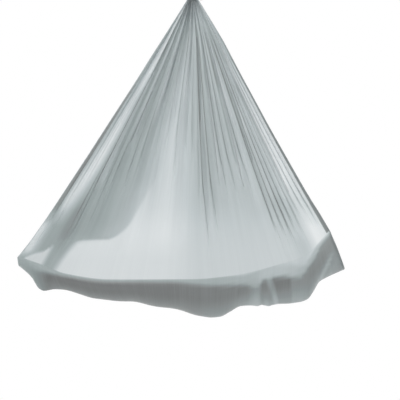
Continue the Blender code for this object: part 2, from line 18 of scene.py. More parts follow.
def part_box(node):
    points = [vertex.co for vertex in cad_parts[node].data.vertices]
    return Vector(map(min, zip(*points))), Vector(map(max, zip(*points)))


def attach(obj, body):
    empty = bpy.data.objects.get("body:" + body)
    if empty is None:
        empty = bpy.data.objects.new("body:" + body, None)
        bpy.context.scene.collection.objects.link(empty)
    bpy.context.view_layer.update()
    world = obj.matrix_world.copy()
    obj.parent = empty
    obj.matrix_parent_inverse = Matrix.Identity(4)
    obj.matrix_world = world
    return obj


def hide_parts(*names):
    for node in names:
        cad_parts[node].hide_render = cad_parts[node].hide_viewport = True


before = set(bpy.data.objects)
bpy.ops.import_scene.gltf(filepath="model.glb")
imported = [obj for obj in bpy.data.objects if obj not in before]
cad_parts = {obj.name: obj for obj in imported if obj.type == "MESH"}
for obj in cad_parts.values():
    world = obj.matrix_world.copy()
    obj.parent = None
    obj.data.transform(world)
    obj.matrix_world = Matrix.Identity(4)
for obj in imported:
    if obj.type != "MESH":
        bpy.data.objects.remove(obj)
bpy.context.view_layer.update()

MM = 0.001
FLAT_WIDTH = 2.2
FLAT_LENGTH = 3.4
ORIGIN = (0.0, 0.0, 0.0)
WHITE = (1.0, 1.0, 1.0, 1.0)
# The carabiners' rod, the radius of its bends, and the gap between pieces that touch.
ROD_RADIUS = 5.5 * MM
BOW_RADIUS = 25.5 * MM
SEAT = 0.3 * MM

Colour = tuple[float, float, float]
Pair = tuple[float, float]
Stop = tuple[float, Colour]
Curve = tuple[Pair, ...]
Rows = tuple[tuple[float, ...], ...]
Face = tuple[int, ...]
Array = np.ndarray
Piece = bpy.types.Object
Material = bpy.types.Material

logging.basicConfig(level=logging.INFO, format="%(message)s")
log = logging.getLogger("hammock")


class Side(Enum):
    """The two hanging points, by the word in their nodes' names."""

    FRONT = "front"
    REAR = "rear"


class Level(Enum):
    """The two ends of a daisy chain, by the word in their carabiners' names."""

    UPPER = "upper"
    LOWER = "lower"


def smooth(low: float, high: float, value: Any) -> Any:
    """A smooth step from 0 at low to 1 at high, for a number or an array."""
    share = np.clip((value - low) / (high - low), 0.0, 1.0)
    return share * share * (3 - 2 * share)


def bell(value: Any, middle: float, width: float) -> Any:
    """A smooth bump of height 1 at middle, for a number or an array."""
    return np.exp(-(((value - middle) / width) ** 2))


def through(points: Sequence[Pair], x: Any) -> Array:
    """A smooth curve through points, with no overshoot between them.

    Args:
        points: (x, height) pairs, in rising order of x.
        x: Where the curve is read.

    Returns:
        The curve's heights, level beyond both ends.
    """
    xs, heights = np.array(points).T
    slopes = np.diff(heights) / np.diff(xs)
    product = slopes[:-1] * slopes[1:]
    total = np.where(product > 0, slopes[:-1] + slopes[1:], 1.0)
    inner = np.where(product > 0, 2 * product / total, 0.0)
    tangents = np.concatenate([slopes[:1], inner, slopes[-1:]])
    held = np.clip(np.asarray(x, dtype=float), xs[0], xs[-1])
    index = np.clip(np.searchsorted(xs, held, side="right") - 1, 0, len(xs) - 2)
    width = xs[index + 1] - xs[index]
    s = (held - xs[index]) / width
    rise = s * s * (3 - 2 * s)
    found = heights[index] * (1 - rise) + heights[index + 1] * rise
    found = found + width * tangents[index] * s * (1 - s) ** 2
    return found - width * tangents[index + 1] * s * s * (1 - s)


def lengths_along(points: Array) -> Array:
    """How far along a line of points each of them lies."""
    steps = np.linalg.norm(np.diff(points, axis=0), axis=1)
    return np.concatenate([[0.0], np.cumsum(steps)])


def spaced(fine: Array, density: Array, count: int) -> Array:
    """The ends of count steps along fine, which are short where the density is high."""
    total = np.concatenate([[0.0], np.cumsum((density[1:] + density[:-1]) / 2)])
    return np.interp(np.linspace(0, 1, count + 1), total / total[-1], fine)


class Wire:
    """A shader socket whose sums and products add their Math nodes."""

    def __init__(self, bench: "NodeBench", socket: Any) -> None:
        """Holds one output socket of a material's tree."""
        self.bench = bench
        self.socket = socket

    def math(self, operation: str, other: Any) -> "Wire":
        """A Math node with this socket first."""
        return self.bench.add("ShaderNodeMath", {"operation": operation}, {0: self, 1: other})[0]

    def __add__(self, other: Any) -> "Wire":
        """This plus other."""
        return self.math("ADD", other)

    def __sub__(self, other: Any) -> "Wire":
        """This less other."""
        return self.math("SUBTRACT", other)

    def __rsub__(self, other: Any) -> "Wire":
        """Other less this."""
        return (self * -1.0) + other

    def __mul__(self, other: Any) -> "Wire":
        """This times other."""
        return self.math("MULTIPLY", other)

    def clamped(self) -> "Wire":
        """This, kept from 0 to 1."""
        return self.math("MAXIMUM", 0.0).math("MINIMUM", 1.0)

    __radd__ = __add__
    __rmul__ = __mul__


class NodeBench:
    """The node tree of one new material, or of a given world."""

    def __init__(self, name: str, world: bpy.types.World | None = None) -> None:
        """Starts an empty material or clears a world."""
        self.made = world or bpy.data.materials.new(name)
        self.made.use_nodes = True
        self.tree = self.made.node_tree
        self.tree.nodes.clear()

    def add(self, kind: str, settings: dict[str, Any], inputs: dict[Any, Any]) -> list[Wire]:
        """Makes one node.

        Args:
            kind: The node's type.
            settings: Its own settings, such as an operation or a ramp's stops.
            inputs: Values or wires for its sockets, by name or number.

        Returns:
            Its outputs.
        """
        node = self.tree.nodes.new(kind)
        for key, value in settings.items():
            if key != "stops":
                setattr(node, key, value)
        for index, (place, colour) in enumerate(settings.get("stops", ())):
            elements = node.color_ramp.elements
            element = elements[index] if index < len(elements) else elements.new(place)
            element.position = place
            element.color = (*colour, 1.0)
        for key, value in inputs.items():
            socket = node.inputs[key]
            if isinstance(value, Wire):
                self.tree.links.new(value.socket, socket)
            else:
                socket.default_value = value
        return [Wire(self, output) for output in node.outputs]

    def ramp(self, factor: Wire, *stops: Stop) -> Wire:
        """A colour that follows a factor."""
        return self.add("ShaderNodeValToRGB", {"stops": stops}, {0: factor})[0]

    def coordinates(self) -> Wire:
        """The piece's own Object coordinates."""
        return self.add("ShaderNodeTexCoord", {}, {})[3]

    def flat_place(self) -> Wire:
        """The place on the flat cloth or webbing, in metres."""
        return self.add("ShaderNodeUVMap", {"uv_map": "cut"}, {})[0]

    def scaled(self, vector: Wire, *scale: float) -> Wire:
        """Coordinates with each axis scaled."""
        return self.add("ShaderNodeMapping", {}, {"Vector": vector, "Scale": scale})[0]

    def noise(self, vector: Wire, scale: float, detail: float) -> Wire:
        """Noise from 0 to 1 at a scale in features a metre."""
        inputs = {"Vector": vector, "Scale": scale, "Detail": detail}
        return self.add("ShaderNodeTexNoise", {}, inputs)[0]

    def wave(self, vector: Wire, across: str, scale: float) -> Wire:
        """Even waves from 0 to 1 across one axis."""
        inputs = {"Vector": vector, "Scale": scale}
        return self.add("ShaderNodeTexWave", {"bands_direction": across}, inputs)[1]

    def bump(self, height: Wire, strength: float, distance: float) -> Wire:
        """A normal tilted by a height."""
        inputs = {"Height": height, "Strength": strength, "Distance": distance}
        return self.add("ShaderNodeBump", {}, inputs)[0]

    def principled(self, inputs: dict[str, Any]) -> Wire:
        """A Principled shader."""
        return self.add("ShaderNodeBsdfPrincipled", {}, inputs)[0]

    def mixed(self, factor: Wire, first: Wire, second: Wire) -> Wire:
        """One shader that goes over into another."""
        return self.add("ShaderNodeMixShader", {}, {0: factor, 1: first, 2: second})[0]

    def finish(self, shader: Wire, output: str = "ShaderNodeOutputMaterial") -> Any:
        """Ends the tree in its output."""
        self.add(output, {}, {"Surface": shader})
        return self.made


@dataclass(frozen=True)
class Tricot:
    """Silvery grey-green nylon tricot: sheer, with a satin shine along its wales."""

    name: str = "hammock_tricot"
    # Past the single sheet's colour, the ramp holds the one cloth painted paler and darker: a painted
    # highlight for the satin shine, and painted shade for gathers, creases, stacked layers and the
    # trough's underside.
    painted_highlight: Colour = (0.83, 0.853, 0.86)
    single: Colour = (0.742, 0.776, 0.787)
    gathered_shade: Colour = (0.552, 0.606, 0.620)
    doubled: Colour = (0.366, 0.424, 0.424)
    crease_shade: Colour = (0.292, 0.334, 0.337)
    shaded: Colour = (0.262, 0.286, 0.284)
    deepest_shade: Colour = (0.186, 0.194, 0.193)
    palest: float = -0.15
    roughness: float = 0.46
    sheen: float = 0.25
    opacity: float = 0.90
    light_through: float = 0.32
    wale_pitch: float = 1.1 * MM
    knit_height: float = 0.12 * MM
    gather_length: float = 1.25

    def stops(self) -> tuple[list[Stop], list[Stop]]:
        """The surface's colours over a factor from 0 to 1, and the light that comes through.

        The darker the cloth, the less light comes through it. That share is taken off the surface.

        Returns:
            The stops of the surface's colour and of the light.
        """
        # The stops run from the painted highlight, through the single sheet's own colour, to deeper and
        # deeper painted shade.
        tones = (
            (self.palest, self.painted_highlight), (0.0, self.single), (0.33, self.gathered_shade),
            (0.66, self.doubled), (0.77, self.crease_shade), (0.87, self.shaded), (1.0, self.deepest_shade),
        )
        surfaces, lights = [], []
        for tone, colour in tones:
            place = (tone - self.palest) / (1.0 - self.palest)
            through_cloth = self.light_through * sum(colour) / sum(self.single)
            own = (1.0 - self.light_through) / (1.0 - through_cloth)
            surfaces.append((place, tuple(channel * own for channel in colour)))
            lights.append((place, (through_cloth,) * 3))
        return surfaces, lights

    def material(self) -> Material:
        """The cloth's material, which follows the attribute tone and the UV map cut."""
        bench = NodeBench(self.name)
        # The attribute tone carries painted shade and painted highlight over the cloth's own colour.
        tone = bench.add("ShaderNodeAttribute", {"attribute_name": "tone"}, {})[2]
        cut = bench.flat_place()
        along = bench.add("ShaderNodeSeparateXYZ", {}, {0: cut})[1]
        from_neck = along.math("MINIMUM", FLAT_LENGTH - along)
        gathered = (1.0 - from_neck * (1.0 / self.gather_length)).clamped()
        gathered = gathered * (from_neck * 4.0).clamped()
        streaks = bench.noise(bench.scaled(cut, 1.0, 0.012, 1.0), 260.0, 3.0)
        wide_streaks = bench.noise(bench.scaled(cut, 1.0, 0.03, 1.0), 34.0, 2.0)
        # Painted shade of fine folds: dark and pale streaks across the colour, strongest in the gathers
        # near each neck.
        folds = bench.noise(bench.scaled(cut, 1.0, 0.02, 1.0), 62.0, 4.0)
        shade = tone + (streaks - 0.5) * 0.10 + (wide_streaks - 0.5) * 0.08
        shade = shade + (folds - 0.5) * (gathered * 0.55 + 0.03)
        factor = ((shade - self.palest) * (1.0 / (1.0 - self.palest))).clamped()
        surfaces, lights = self.stops()
        across = bench.scaled(cut, 1.0 / self.wale_pitch, 0.25 / self.wale_pitch, 1.0)
        surface = bench.principled({
            "Base Color": bench.ramp(factor, *surfaces),
            "Roughness": (streaks - 0.5) * 0.18 + self.roughness,
            "Alpha": self.opacity,
            "Sheen Weight": self.sheen,
            "Sheen Roughness": 0.35,
            "Specular IOR Level": 0.45,
            "Normal": bench.bump(bench.wave(across, "X", 0.3), 0.12, self.knit_height),
        })
        glow = bench.add("ShaderNodeBsdfTranslucent", {}, {"Color": (*self.single, 1.0)})[0]
        return bench.finish(bench.mixed(bench.ramp(factor, *lights), surface, glow))


@dataclass(frozen=True)
class Crease:
    """One pleat that runs down from the neck.

    slope is how far its folded edge runs towards the head end for each metre down, where the fan
    is half open, and half_width is half of the pleat in the same units. depth is how far its
    layers fold over each other, 1 for a full fold. fade is where it has opened out, and line is
    how dark the shadow along its edge is, from start to end.
    """

    slope: float
    half_width: float
    depth: float
    fade: float
    line: float
    start: float
    end: float

    def shadow(self, depth: Array) -> Array:
        """How much of the edge's shadow shows at each depth."""
        shown = smooth(self.start - 0.08, self.start + 0.05, depth)
        return shown * (1 - smooth(self.end - 0.05, self.end + 0.06, depth))


@dataclass(frozen=True)
class Band:
    """A lengthwise band that looks paler or darker than the cloth beside it.

    slope and half_width place it, and tone is what it adds: a painted highlight along a satin fold where
    it is below 0, painted shade in a groove where it is above.
    It comes in between the depths start and full, and goes between fade and end.
    """

    slope: float
    half_width: float
    tone: float
    start: float = 0.0
    full: float = 0.01
    fade: float = 2.0
    end: float = 2.01

    def added(self, slope: Array, depth: Array) -> Array:
        """What the band adds to the tone at each place."""
        grown = smooth(self.start, self.full, depth) * (1 - smooth(self.fade, self.end, depth))
        return self.tone * bell(slope, self.slope, self.half_width) * grown


@dataclass
class HammockCloth:
    """The single sheet, down from the front knot, under as the trough and up to the rear knot.

    Depths are measured down from the fan's apex, where its lines would meet.
    """

    finish: Tricot
    name: str = "hammock_sheet"
    node: str = "hammock_cloth"
    bundle_radius: float = 12.0 * MM
    rim_depth: float = 1.438
    foot_rim_x: float = -0.873
    head_rim_x: float = 0.682
    foot_keel_x: float = -0.866
    head_keel_x: float = 0.752
    hanging_y: float = 0.25
    rim_profile: Curve = (
        (-0.873, 0.113), (-0.765, 0.076), (-0.635, 0.028), (-0.415, 0.0), (0.0, 0.002), (0.21, 0.022),
        (0.43, 0.076), (0.56, 0.12), (0.682, 0.242),
    )
    keel_profile: Curve = (
        (-0.866, -0.066), (-0.825, -0.03), (-0.805, -0.009), (-0.77, 0.043), (-0.745, 0.054),
        (-0.695, 0.0465), (-0.655, 0.0495), (-0.565, 0.072), (-0.49, 0.093), (-0.4, 0.105),
        (-0.315, 0.108), (-0.215, 0.1275), (-0.065, 0.152), (0.035, 0.1815), (0.088, 0.19),
        (0.135, 0.184), (0.185, 0.159), (0.24, 0.133), (0.3, 0.1285), (0.435, 0.1265), (0.5, 0.116),
        (0.553, 0.105), (0.578, 0.092), (0.6, 0.062), (0.633, 0.01), (0.665, -0.0085), (0.752, -0.05),
    )
    half_width_profile: Curve = (
        (-0.873, 0.03), (-0.62, 0.09), (-0.2, 0.172), (0.1, 0.2), (0.45, 0.192), (0.682, 0.168),
    )
    # How far the fan's lines lean towards the head end: (depth, metres).
    lean_profile: Curve = (
        (0.02, 0.0), (0.24, 0.0065), (0.42, 0.0045), (0.6, 0.0018), (0.8, 0.0),
    )
    foot_lean_profile: Curve = (
        (0.02, 0.0), (0.24, 0.008), (0.34, 0.0105), (0.44, 0.014), (0.64, 0.0155), (0.84, 0.0175),
        (1.04, 0.0175), (1.12, 0.017), (1.2, 0.0135), (1.26, 0.0105), (1.3, 0.0085), (1.325, 0.004),
    )
    head_lean_profile: Curve = (
        (0.02, 0.0), (0.24, 0.0045), (0.34, -0.001), (0.44, -0.005), (0.54, -0.0075), (0.64, -0.0105),
        (0.74, -0.012), (0.94, -0.012), (1.04, -0.01), (1.11, -0.0055), (1.196, -0.004),
    )
    half_open: float = 0.84
    # The inner flap's edge: (depth, slope).
    flap_profile: Curve = (
        (0.02, -0.176), (0.245, -0.18), (0.57, -0.193), (0.73, -0.208), (0.79, -0.2025),
        (0.915, -0.197), (1.0, -0.225), (1.09, -0.252), (1.16, -0.272), (1.2075, -0.302),
        (1.235, -0.34), (1.243, -0.4435), (1.252, -0.464), (1.375, -0.4945), (1.45, -0.5),
    )
    # Where the flap's lower end lies flat again: (slope, depth).
    flap_foot_profile: Curve = (
        (-0.632, 1.321), (-0.6, 1.302), (-0.574, 1.293), (-0.5675, 1.283), (-0.55, 1.2675),
        (-0.535, 1.257),
    )
    # How dark the single sheet is painted at each depth: painted shade of the gathers, darker in the
    # upper fan and paler towards the rim.
    depth_tones: Curve = (
        (0.02, 0.5), (0.25, 0.5), (0.54, 0.52), (0.84, 0.48), (0.94, 0.47), (1.04, 0.43), (1.19, 0.28),
        (1.34, 0.2), (1.45, 0.17),
    )
    # Where the trough's cloth turns to a painted grey and then to painted dark shade, below the rim: (x,
    # depth).
    grey_profile: Curve = (
        (-0.9, 1.285), (-0.765, 1.35), (-0.6, 1.378), (-0.415, 1.405), (0.05, 1.408), (0.11, 1.418),
        (0.235, 1.4135), (0.335, 1.385), (0.39, 1.362), (0.44, 1.361), (0.49, 1.358), (0.53, 1.366),
        (0.5525, 1.362), (0.5825, 1.322), (0.612, 1.276), (0.6325, 1.253), (0.67, 1.209),
        (0.685, 1.191),
    )
    dark_profile: Curve = (
        (-0.873, 1.366), (-0.765, 1.396), (-0.635, 1.42), (-0.415, 1.446), (-0.115, 1.448),
        (0.11, 1.464), (0.26, 1.462), (0.31, 1.472), (0.36, 1.434), (0.46, 1.42), (0.49, 1.424),
        (0.53, 1.423), (0.555, 1.402), (0.5825, 1.361), (0.612, 1.318), (0.6325, 1.273), (0.67, 1.224),
        (0.685, 1.209),
    )
    # How dark the trough's wrinkles and flats are painted along it, as painted shade below the rim: (x,
    # tone).
    trough_tones: Curve = (
        (-0.87, 0.6), (-0.8, 0.72), (-0.755, 0.86), (-0.71, 1.0), (-0.2, 1.0), (0.08, 0.96),
        (0.24, 0.95), (0.27, 0.92), (0.292, 0.84), (0.318, 0.76), (0.335, 0.8), (0.348, 0.96),
        (0.362, 0.96), (0.385, 0.76), (0.398, 0.8), (0.412, 0.99), (0.48, 0.98), (0.497, 0.87),
        (0.56, 0.86), (0.585, 0.89), (0.625, 0.88), (0.66, 0.82), (0.69, 0.88), (0.745, 0.86),
    )
    # How far each wrinkle leans towards the head end for each metre down: (x, lean).
    wrinkle_leans: Curve = (
        (0.34, -0.08), (0.38, 0.38), (0.44, 0.2), (0.49, 0.08), (0.56, 0.0), (0.62, -0.45),
        (0.72, -0.45),
    )
    wrinkle_depth: float = 1.46
    # How wide the head end's selvedge is beside its roll: (depth, metres).
    selvedge_profile: Curve = (
        (0.2, 0.0), (0.34, 0.001), (0.54, 0.002), (0.84, 0.005), (1.04, 0.007), (1.12, 0.01),
        (1.2, 0.011),
    )
    # Painted shade: the band beside the head end's roll and the zone where the flap lies behind are
    # painted darker, for their stacked layers.
    selvedge_tone: float = 0.90
    doubled_tone: float = 0.63
    flap_keel_x: float = -0.760
    flap_rim_depth: float = 1.375
    fold_radius: float = 4.5 * MM
    corner_radius: float = 9.0 * MM
    flap_inset: float = 16.0 * MM
    roll_radius: float = 7.0 * MM
    roll_core: float = 3.5 * MM
    roll_turns: float = 1.6
    wave_depth: float = 10.0 * MM
    rim_bulge: float = 9.0 * MM
    layer_rows: int = 78
    trough_rows: int = 36
    edge_columns: tuple[float, ...] = (-1.6, -1.3, -1.0, -0.93, -0.7, -0.41, 0.0, 0.41, 0.7, 1.0)
    widest_gap: float = 0.012
    narrowest_gap: float = 0.0005
    flap_columns: int = 40
    fold_columns: int = 7
    roll_columns: int = 22
    # The pleats that the layers show, as a Crease each.
    pleats: Rows = (
        (-0.6205, 0.006, 0.6, 1.25, 0.14, 0.1, 1.0), (-0.592, 0.007, 0.6, 1.15, 0.3, 0.52, 1.03),
        (-0.575, 0.0045, 0.2, 1.0, 0.18, 0.15, 0.98), (-0.5585, 0.0045, 0.2, 1.0, 0.26, 0.2, 0.92),
        (-0.545, 0.0065, 0.6, 0.8, 0.18, 0.2, 0.66), (-0.516, 0.0055, 0.1, 1.3, 0.18, 0.92, 1.12),
        (-0.5, 0.009, 1.0, 1.2, 0.46, 0.15, 0.95), (-0.471, 0.008, 0.6, 0.95, 0.06, 0.1, 0.8),
        (-0.453, 0.008, 0.8, 1.1, 0.12, 0.1, 0.95), (-0.426, 0.009, 0.9, 1.0, 0.12, 0.2, 0.9),
        (-0.36, 0.01, 0.9, 0.95, 0.09, 0.12, 0.8), (-0.317, 0.01, 0.9, 0.9, 0.09, 0.2, 0.85),
        (-0.112, 0.011, 1.1, 0.92, 0.42, 0.15, 0.72), (-0.057, 0.01, 1.0, 0.8, 0.2, 0.1, 0.48),
        (-0.009, 0.01, 0.9, 0.85, 0.1, 0.35, 0.72), (0.029, 0.007, 0.6, 1.1, 0.1, 0.75, 1.03),
        (0.0535, 0.011, 1.2, 1.25, 0.62, 0.1, 1.0), (0.094, 0.01, 1.1, 1.18, 0.42, 0.2, 0.98),
        (0.129, 0.009, 0.9, 1.0, 0.12, 0.35, 0.87), (0.163, 0.01, 1.0, 1.02, 0.32, 0.15, 0.85),
        (0.208, 0.01, 1.0, 1.02, 0.34, 0.15, 0.85), (0.251, 0.01, 1.0, 1.02, 0.4, 0.18, 0.85),
        (0.289, 0.009, 1.0, 1.0, 0.28, 0.2, 0.85), (0.345, 0.007, 1.0, 1.27, 0.52, 0.25, 1.17),
        (0.372, 0.0075, 1.0, 1.27, 0.5, 0.35, 1.17), (0.398, 0.0075, 1.0, 1.28, 0.56, 0.25, 1.19),
        (0.421, 0.0075, 0.9, 1.24, 0.42, 0.5, 1.17), (0.447, 0.0075, 0.9, 1.22, 0.36, 0.62, 1.17),
        (0.468, 0.007, 0.8, 1.18, 0.38, 0.45, 1.09), (0.498, 0.007, 0.9, 1.18, 0.56, 0.45, 1.08),
        (0.526, 0.0075, 1.0, 1.18, 0.62, 0.35, 1.13),
    )
    # Where short pleats stand between them near the neck: (from slope, to slope, how many).
    short_pleats: tuple[tuple[float, float, int], ...] = (
        (-0.413, -0.370, 1), (-0.300, -0.135, 6), (-0.092, -0.068, 1), (-0.040, -0.018, 1),
        (0.312, 0.336, 1),
    )
    # The bands where the sheet is single, and where the flap lies behind it, as a Band each: painted
    # highlights along the satin folds and painted shade in the grooves.
    single_bands: Rows = (
        (-0.13, 0.03, -0.04, 0.3, 0.5, 1.2, 1.35), (-0.05, 0.022, -0.12, 0.0, 0.1, 0.45, 0.65),
        (0.07, 0.014, -0.22, 0.0, 0.1, 0.55, 0.75), (0.1, 0.026, 0.08, 0.15, 0.3, 1.05, 1.2),
        (0.14, 0.013, -0.18, 0.4, 0.55, 0.8, 0.95), (0.26, 0.012, -0.26, 0.42, 0.55, 0.85, 1.0),
        (0.304, 0.017, -0.36, 0.02, 0.1, 0.5, 0.7), (0.306, 0.015, -0.08, 0.5, 0.7, 1.0, 1.1),
        (0.334, 0.014, -0.16, 0.1, 0.3, 0.6, 0.75), (0.382, 0.012, -0.34, 0.2, 0.36, 0.65, 0.8),
        (0.382, 0.012, -0.18, 0.7, 0.8, 0.98, 1.08), (0.416, 0.011, -0.18, 0.44, 0.6, 0.96, 1.06),
        (0.447, 0.012, -0.27, 0.5, 0.64, 1.0, 1.1), (0.4, 0.03, 0.06, 0.95, 1.05, 1.14, 1.24),
        (0.447, 0.022, 0.2, 0.02, 0.1, 0.28, 0.45), (0.482, 0.017, -0.36, 0.25, 0.42, 0.92, 1.08),
        (0.516, 0.016, -0.18, 0.1, 0.25, 0.9, 1.05), (0.545, 0.012, -0.08, 0.25, 0.5, 1.0, 1.1),
        (0.505, 0.022, -0.12, 1.13, 1.18, 1.24, 1.28), (0.43, 0.035, 0.12, 1.18, 1.26),
    )
    doubled_bands: Rows = (
        (-0.604, 0.016, -0.3, 0.35, 0.6, 1.04, 1.12), (-0.629, 0.018, 0.36, 0.36, 0.52, 1.06, 1.13),
        (-0.64, 0.027, -0.62, 1.12, 1.18, 1.28, 1.33), (-0.527, 0.034, -0.42, 0.02, 0.06, 0.38, 0.56),
        (-0.503, 0.012, -0.24, 0.02, 0.06, 0.34, 0.46), (-0.48, 0.012, -0.24, 0.26, 0.4, 0.9, 1.02),
        (-0.407, 0.022, -0.26, 0.0, 0.1, 0.6, 0.85), (-0.285, 0.03, -0.28, 0.0, 0.1, 0.5, 0.72),
        (-0.248, 0.014, -0.26, 0.0, 0.1, 0.32, 0.48), (-0.51, 0.01, -0.14, 0.02, 0.06, 0.28, 0.4),
    )

    @cached_property
    def creases(self) -> list[Crease]:
        """The pleats that the layers show, and the short ones between them near the neck."""
        found = [Crease(*pleat) for pleat in self.pleats]
        for start, end, count in self.short_pleats:
            pitch = (end - start) / count
            for index in range(count):
                beat = math.sin(2.4 * index + 9.0 * start)
                found.append(Crease(
                    start + pitch * (index + 0.2), pitch * 0.40, 0.85 + 0.25 * beat,
                    0.66 + 0.16 * beat, 0.10 + 0.05 * beat, 0.08, 0.42 + 0.12 * beat,
                ))
        return sorted(found, key=lambda crease: crease.slope)

    def rim_depth_at(self, x: Any) -> Any:
        """How far the rim lies below the fan's apex."""
        return self.rim_depth - through(self.rim_profile, x)

    @cached_property
    def fan(self) -> list[float]:
        """The slopes of the fan's two edges, at the foot end and at the head end."""
        return [x / float(self.rim_depth_at(x)) for x in (self.foot_rim_x, self.head_rim_x)]

    @cached_property
    def rise(self) -> float:
        """How far above the neck the cloth's edges would meet, at the fan's apex."""
        return 2 * self.bundle_radius / (self.fan[1] - self.fan[0])

    @cached_property
    def apex_z(self) -> float:
        """The apex's height."""
        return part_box(self.node)[1][2] + self.rise

    def depth_at(self, rim_x: Any, down: float) -> Any:
        """How deep the line to rim_x lies below the apex, a share of its way down to the rim."""
        return self.rise + (self.rim_depth_at(rim_x) - self.rise) * down

    def out_at(self, rim_x: Array, down: float = 1.0) -> Array:
        """How far from the middle plane the line to rim_x stands, a share of its way down."""
        return self.hanging_y + (through(self.half_width_profile, rim_x) - self.hanging_y) * down

    def share_at(self, slope: Array) -> Array:
        """How far across the fan a slope lies, from 0 at the foot end to 1 at the head end."""
        return (slope - self.slopes[0]) / (self.slopes[-1] - self.slopes[0])

    def lean(self, slope: Any, depth: Any) -> Any:
        """How far a line of the fan leans towards the head end, in metres."""
        middle = through(self.lean_profile, depth)
        foot = through(self.foot_lean_profile, depth) - middle
        head = through(self.head_lean_profile, depth) - middle
        return middle + foot * smooth(0.30, 0.66, -slope) + head * smooth(0.30, 0.57, slope)

    @cached_property
    def placed_creases(self) -> list[tuple[Crease, float, float]]:
        """Each pleat with the slopes of its folded edge and of its middle, before they lean."""
        found = []
        for crease in self.creases:
            edge = crease.slope
            for _ in range(6):
                edge = crease.slope - float(self.lean(edge, self.half_open)) / self.half_open
            found.append((crease, edge, edge + 0.84 * crease.half_width))
        return found

    @cached_property
    def slopes(self) -> Array:
        """The slopes of the outer sheet's columns, closer together in the pleats."""
        foot, head = self.fan
        kept = [foot, foot + 0.004, foot + 0.008, head]
        kept += [head - 0.002 * step for step in range(1, 10)]
        kept += [-0.64 + 0.005 * step for step in range(25)]
        for crease, _, middle in self.placed_creases:
            kept += [middle + share * crease.half_width for share in self.edge_columns]
        kept = sorted(value for value in kept if foot <= value <= head)
        found = kept[:1]
        for value in kept[1:]:
            gap = value - found[-1]
            if gap < self.narrowest_gap and value < head:
                continue
            steps = max(1, math.ceil(gap / self.widest_gap))
            found += [found[-1] + gap / steps * (step + 1) for step in range(steps)]
        return np.array(found)

    @cached_property
    def rim_x(self) -> Array:
        """Where along the rim each column arrives."""
        xs = np.linspace(self.foot_rim_x, self.head_rim_x, 600)
        return np.interp(self.slopes, xs / self.rim_depth_at(xs), xs)

    def row_shares(self) -> Array:
        """How far down each row of a layer lies, from the neck at 0 to the rim at 1."""
        fine = np.linspace(0.0, 1.0, 2000)
        density = 1 + 2.0 * np.exp(-fine / 0.05) + 4.5 * bell(fine, 0.865, 0.04)
        density += 0.8 * bell(fine, 0.76, 0.08) + 2.5 * bell(fine, 0.968, 0.025)
        density += 5.0 * np.exp(-(1 - fine) / 0.02)
        return spaced(fine, density, self.layer_rows)

    def trough_angles(self) -> Array:
        """The angle of each row of the trough, from the front rim at 0 to the rear rim at pi."""
        fine = np.linspace(0.0, math.pi, 2000)
        density = 1 + 5.0 * np.exp(-fine / 0.06) + 5.0 * np.exp(-(math.pi - fine) / 0.06)
        return spaced(fine, density, self.trough_rows)[1:-1]

    def pleated(self, depth: Array) -> Array:
        """The pleats of one row.

        Args:
            depth: Each column's depth.

        Returns:
            The shift across in slope units, the lift out of the sheet from -1 to 1 times the
            pleat's half width, and the pleats' lines: painted shadow beside each folded edge, less a
            faint painted highlight on the fold.
        """
        found = np.zeros((3, len(depth)))
        fuller = 1 + 2.2 * (1 - smooth(0.12, 0.30, depth))
        breadth = 0.0036 / depth
        for crease, edge, middle in self.placed_creases:
            half = crease.half_width
            share = (self.slopes - middle) / half
            open_out = 1 - smooth(0.70 * crease.fade, 1.12 * crease.fade, depth)
            wave = np.sin(math.pi * share) * (np.abs(share) <= 1.0) * open_out
            moved = -1.36 * crease.depth * half * wave
            # below is the painted shadow beside a folded edge, and above is a faint painted highlight on
            # the fold.
            below = bell(self.slopes + moved, edge - 0.3 * breadth, breadth) * (share < -0.2)
            above = bell(self.slopes + moved, edge + 1.7 * breadth, breadth) * (share > 0.2)
            line = crease.line * crease.shadow(depth) * (below - 0.2 * above)
            found += (moved, wave * half * (0.24 + 0.22 * crease.depth) * fuller, line)
        return found

    @cached_property
    def flap_edge(self) -> tuple[Array, Array]:
        """Evenly spaced points along the flap's edge: their x and their depth."""
        depth = np.linspace(self.flap_profile[0][0], self.flap_profile[-1][0], 6000)
        x = through(self.flap_profile, depth) * depth
        along = lengths_along(np.stack([x, depth], axis=1))
        marks = np.linspace(0.0, along[-1], 700)
        return np.interp(marks, along, x), np.interp(marks, along, depth)

    def behind_flap(self, slope: Array, depth: Array) -> Array:
        """How far inside the flap's edge each point of the outer sheet lies, in metres."""
        edge_x, edge_depth = self.flap_edge
        across = (slope * depth)[:, None] - edge_x
        down = depth[:, None] - edge_depth
        away = np.sqrt((across**2 + down**2).min(axis=1))
        return np.where(slope < through(self.flap_profile, depth), away, -away)

    def doubled_zone_tone(self, slope: Array, depth: Array) -> Array:
        """How dark the outer sheet is where the flap lies behind it."""
        # Painted shade where the flap lies behind: darker for the light that the two layers hold back.
        tone = self.doubled_tone + 0.06 * smooth(0.95, 1.18, depth)
        tone += sum(Band(*band).added(slope, depth) for band in self.doubled_bands)
        from_edge = through(self.flap_profile, depth) - slope
        near = ((0.0, 0.31), (0.05, 0.21), (0.09, 0.11), (0.13, 0.05), (0.20, 0.0))
        below = ((0.2, 0.15), (0.54, 0.5), (0.84, 0.9), (1.18, 1.15), (1.21, 1.0), (1.25, 0.1))
        tone -= through(near, from_edge) * through(below, depth)
        # A painted highlight along the satin shine of the fold beside the flap.
        shine = ((0.25, -0.550), (0.62, -0.553), (0.84, -0.562), (0.95, -0.574), (1.1, -0.595))
        pale = ((0.1, 0.25), (0.25, 0.34), (0.54, 0.68), (0.84, 0.78), (1.04, 0.50), (1.17, 0.0))
        tone -= through(pale, depth) * bell(slope, through(shine, depth), 0.035)
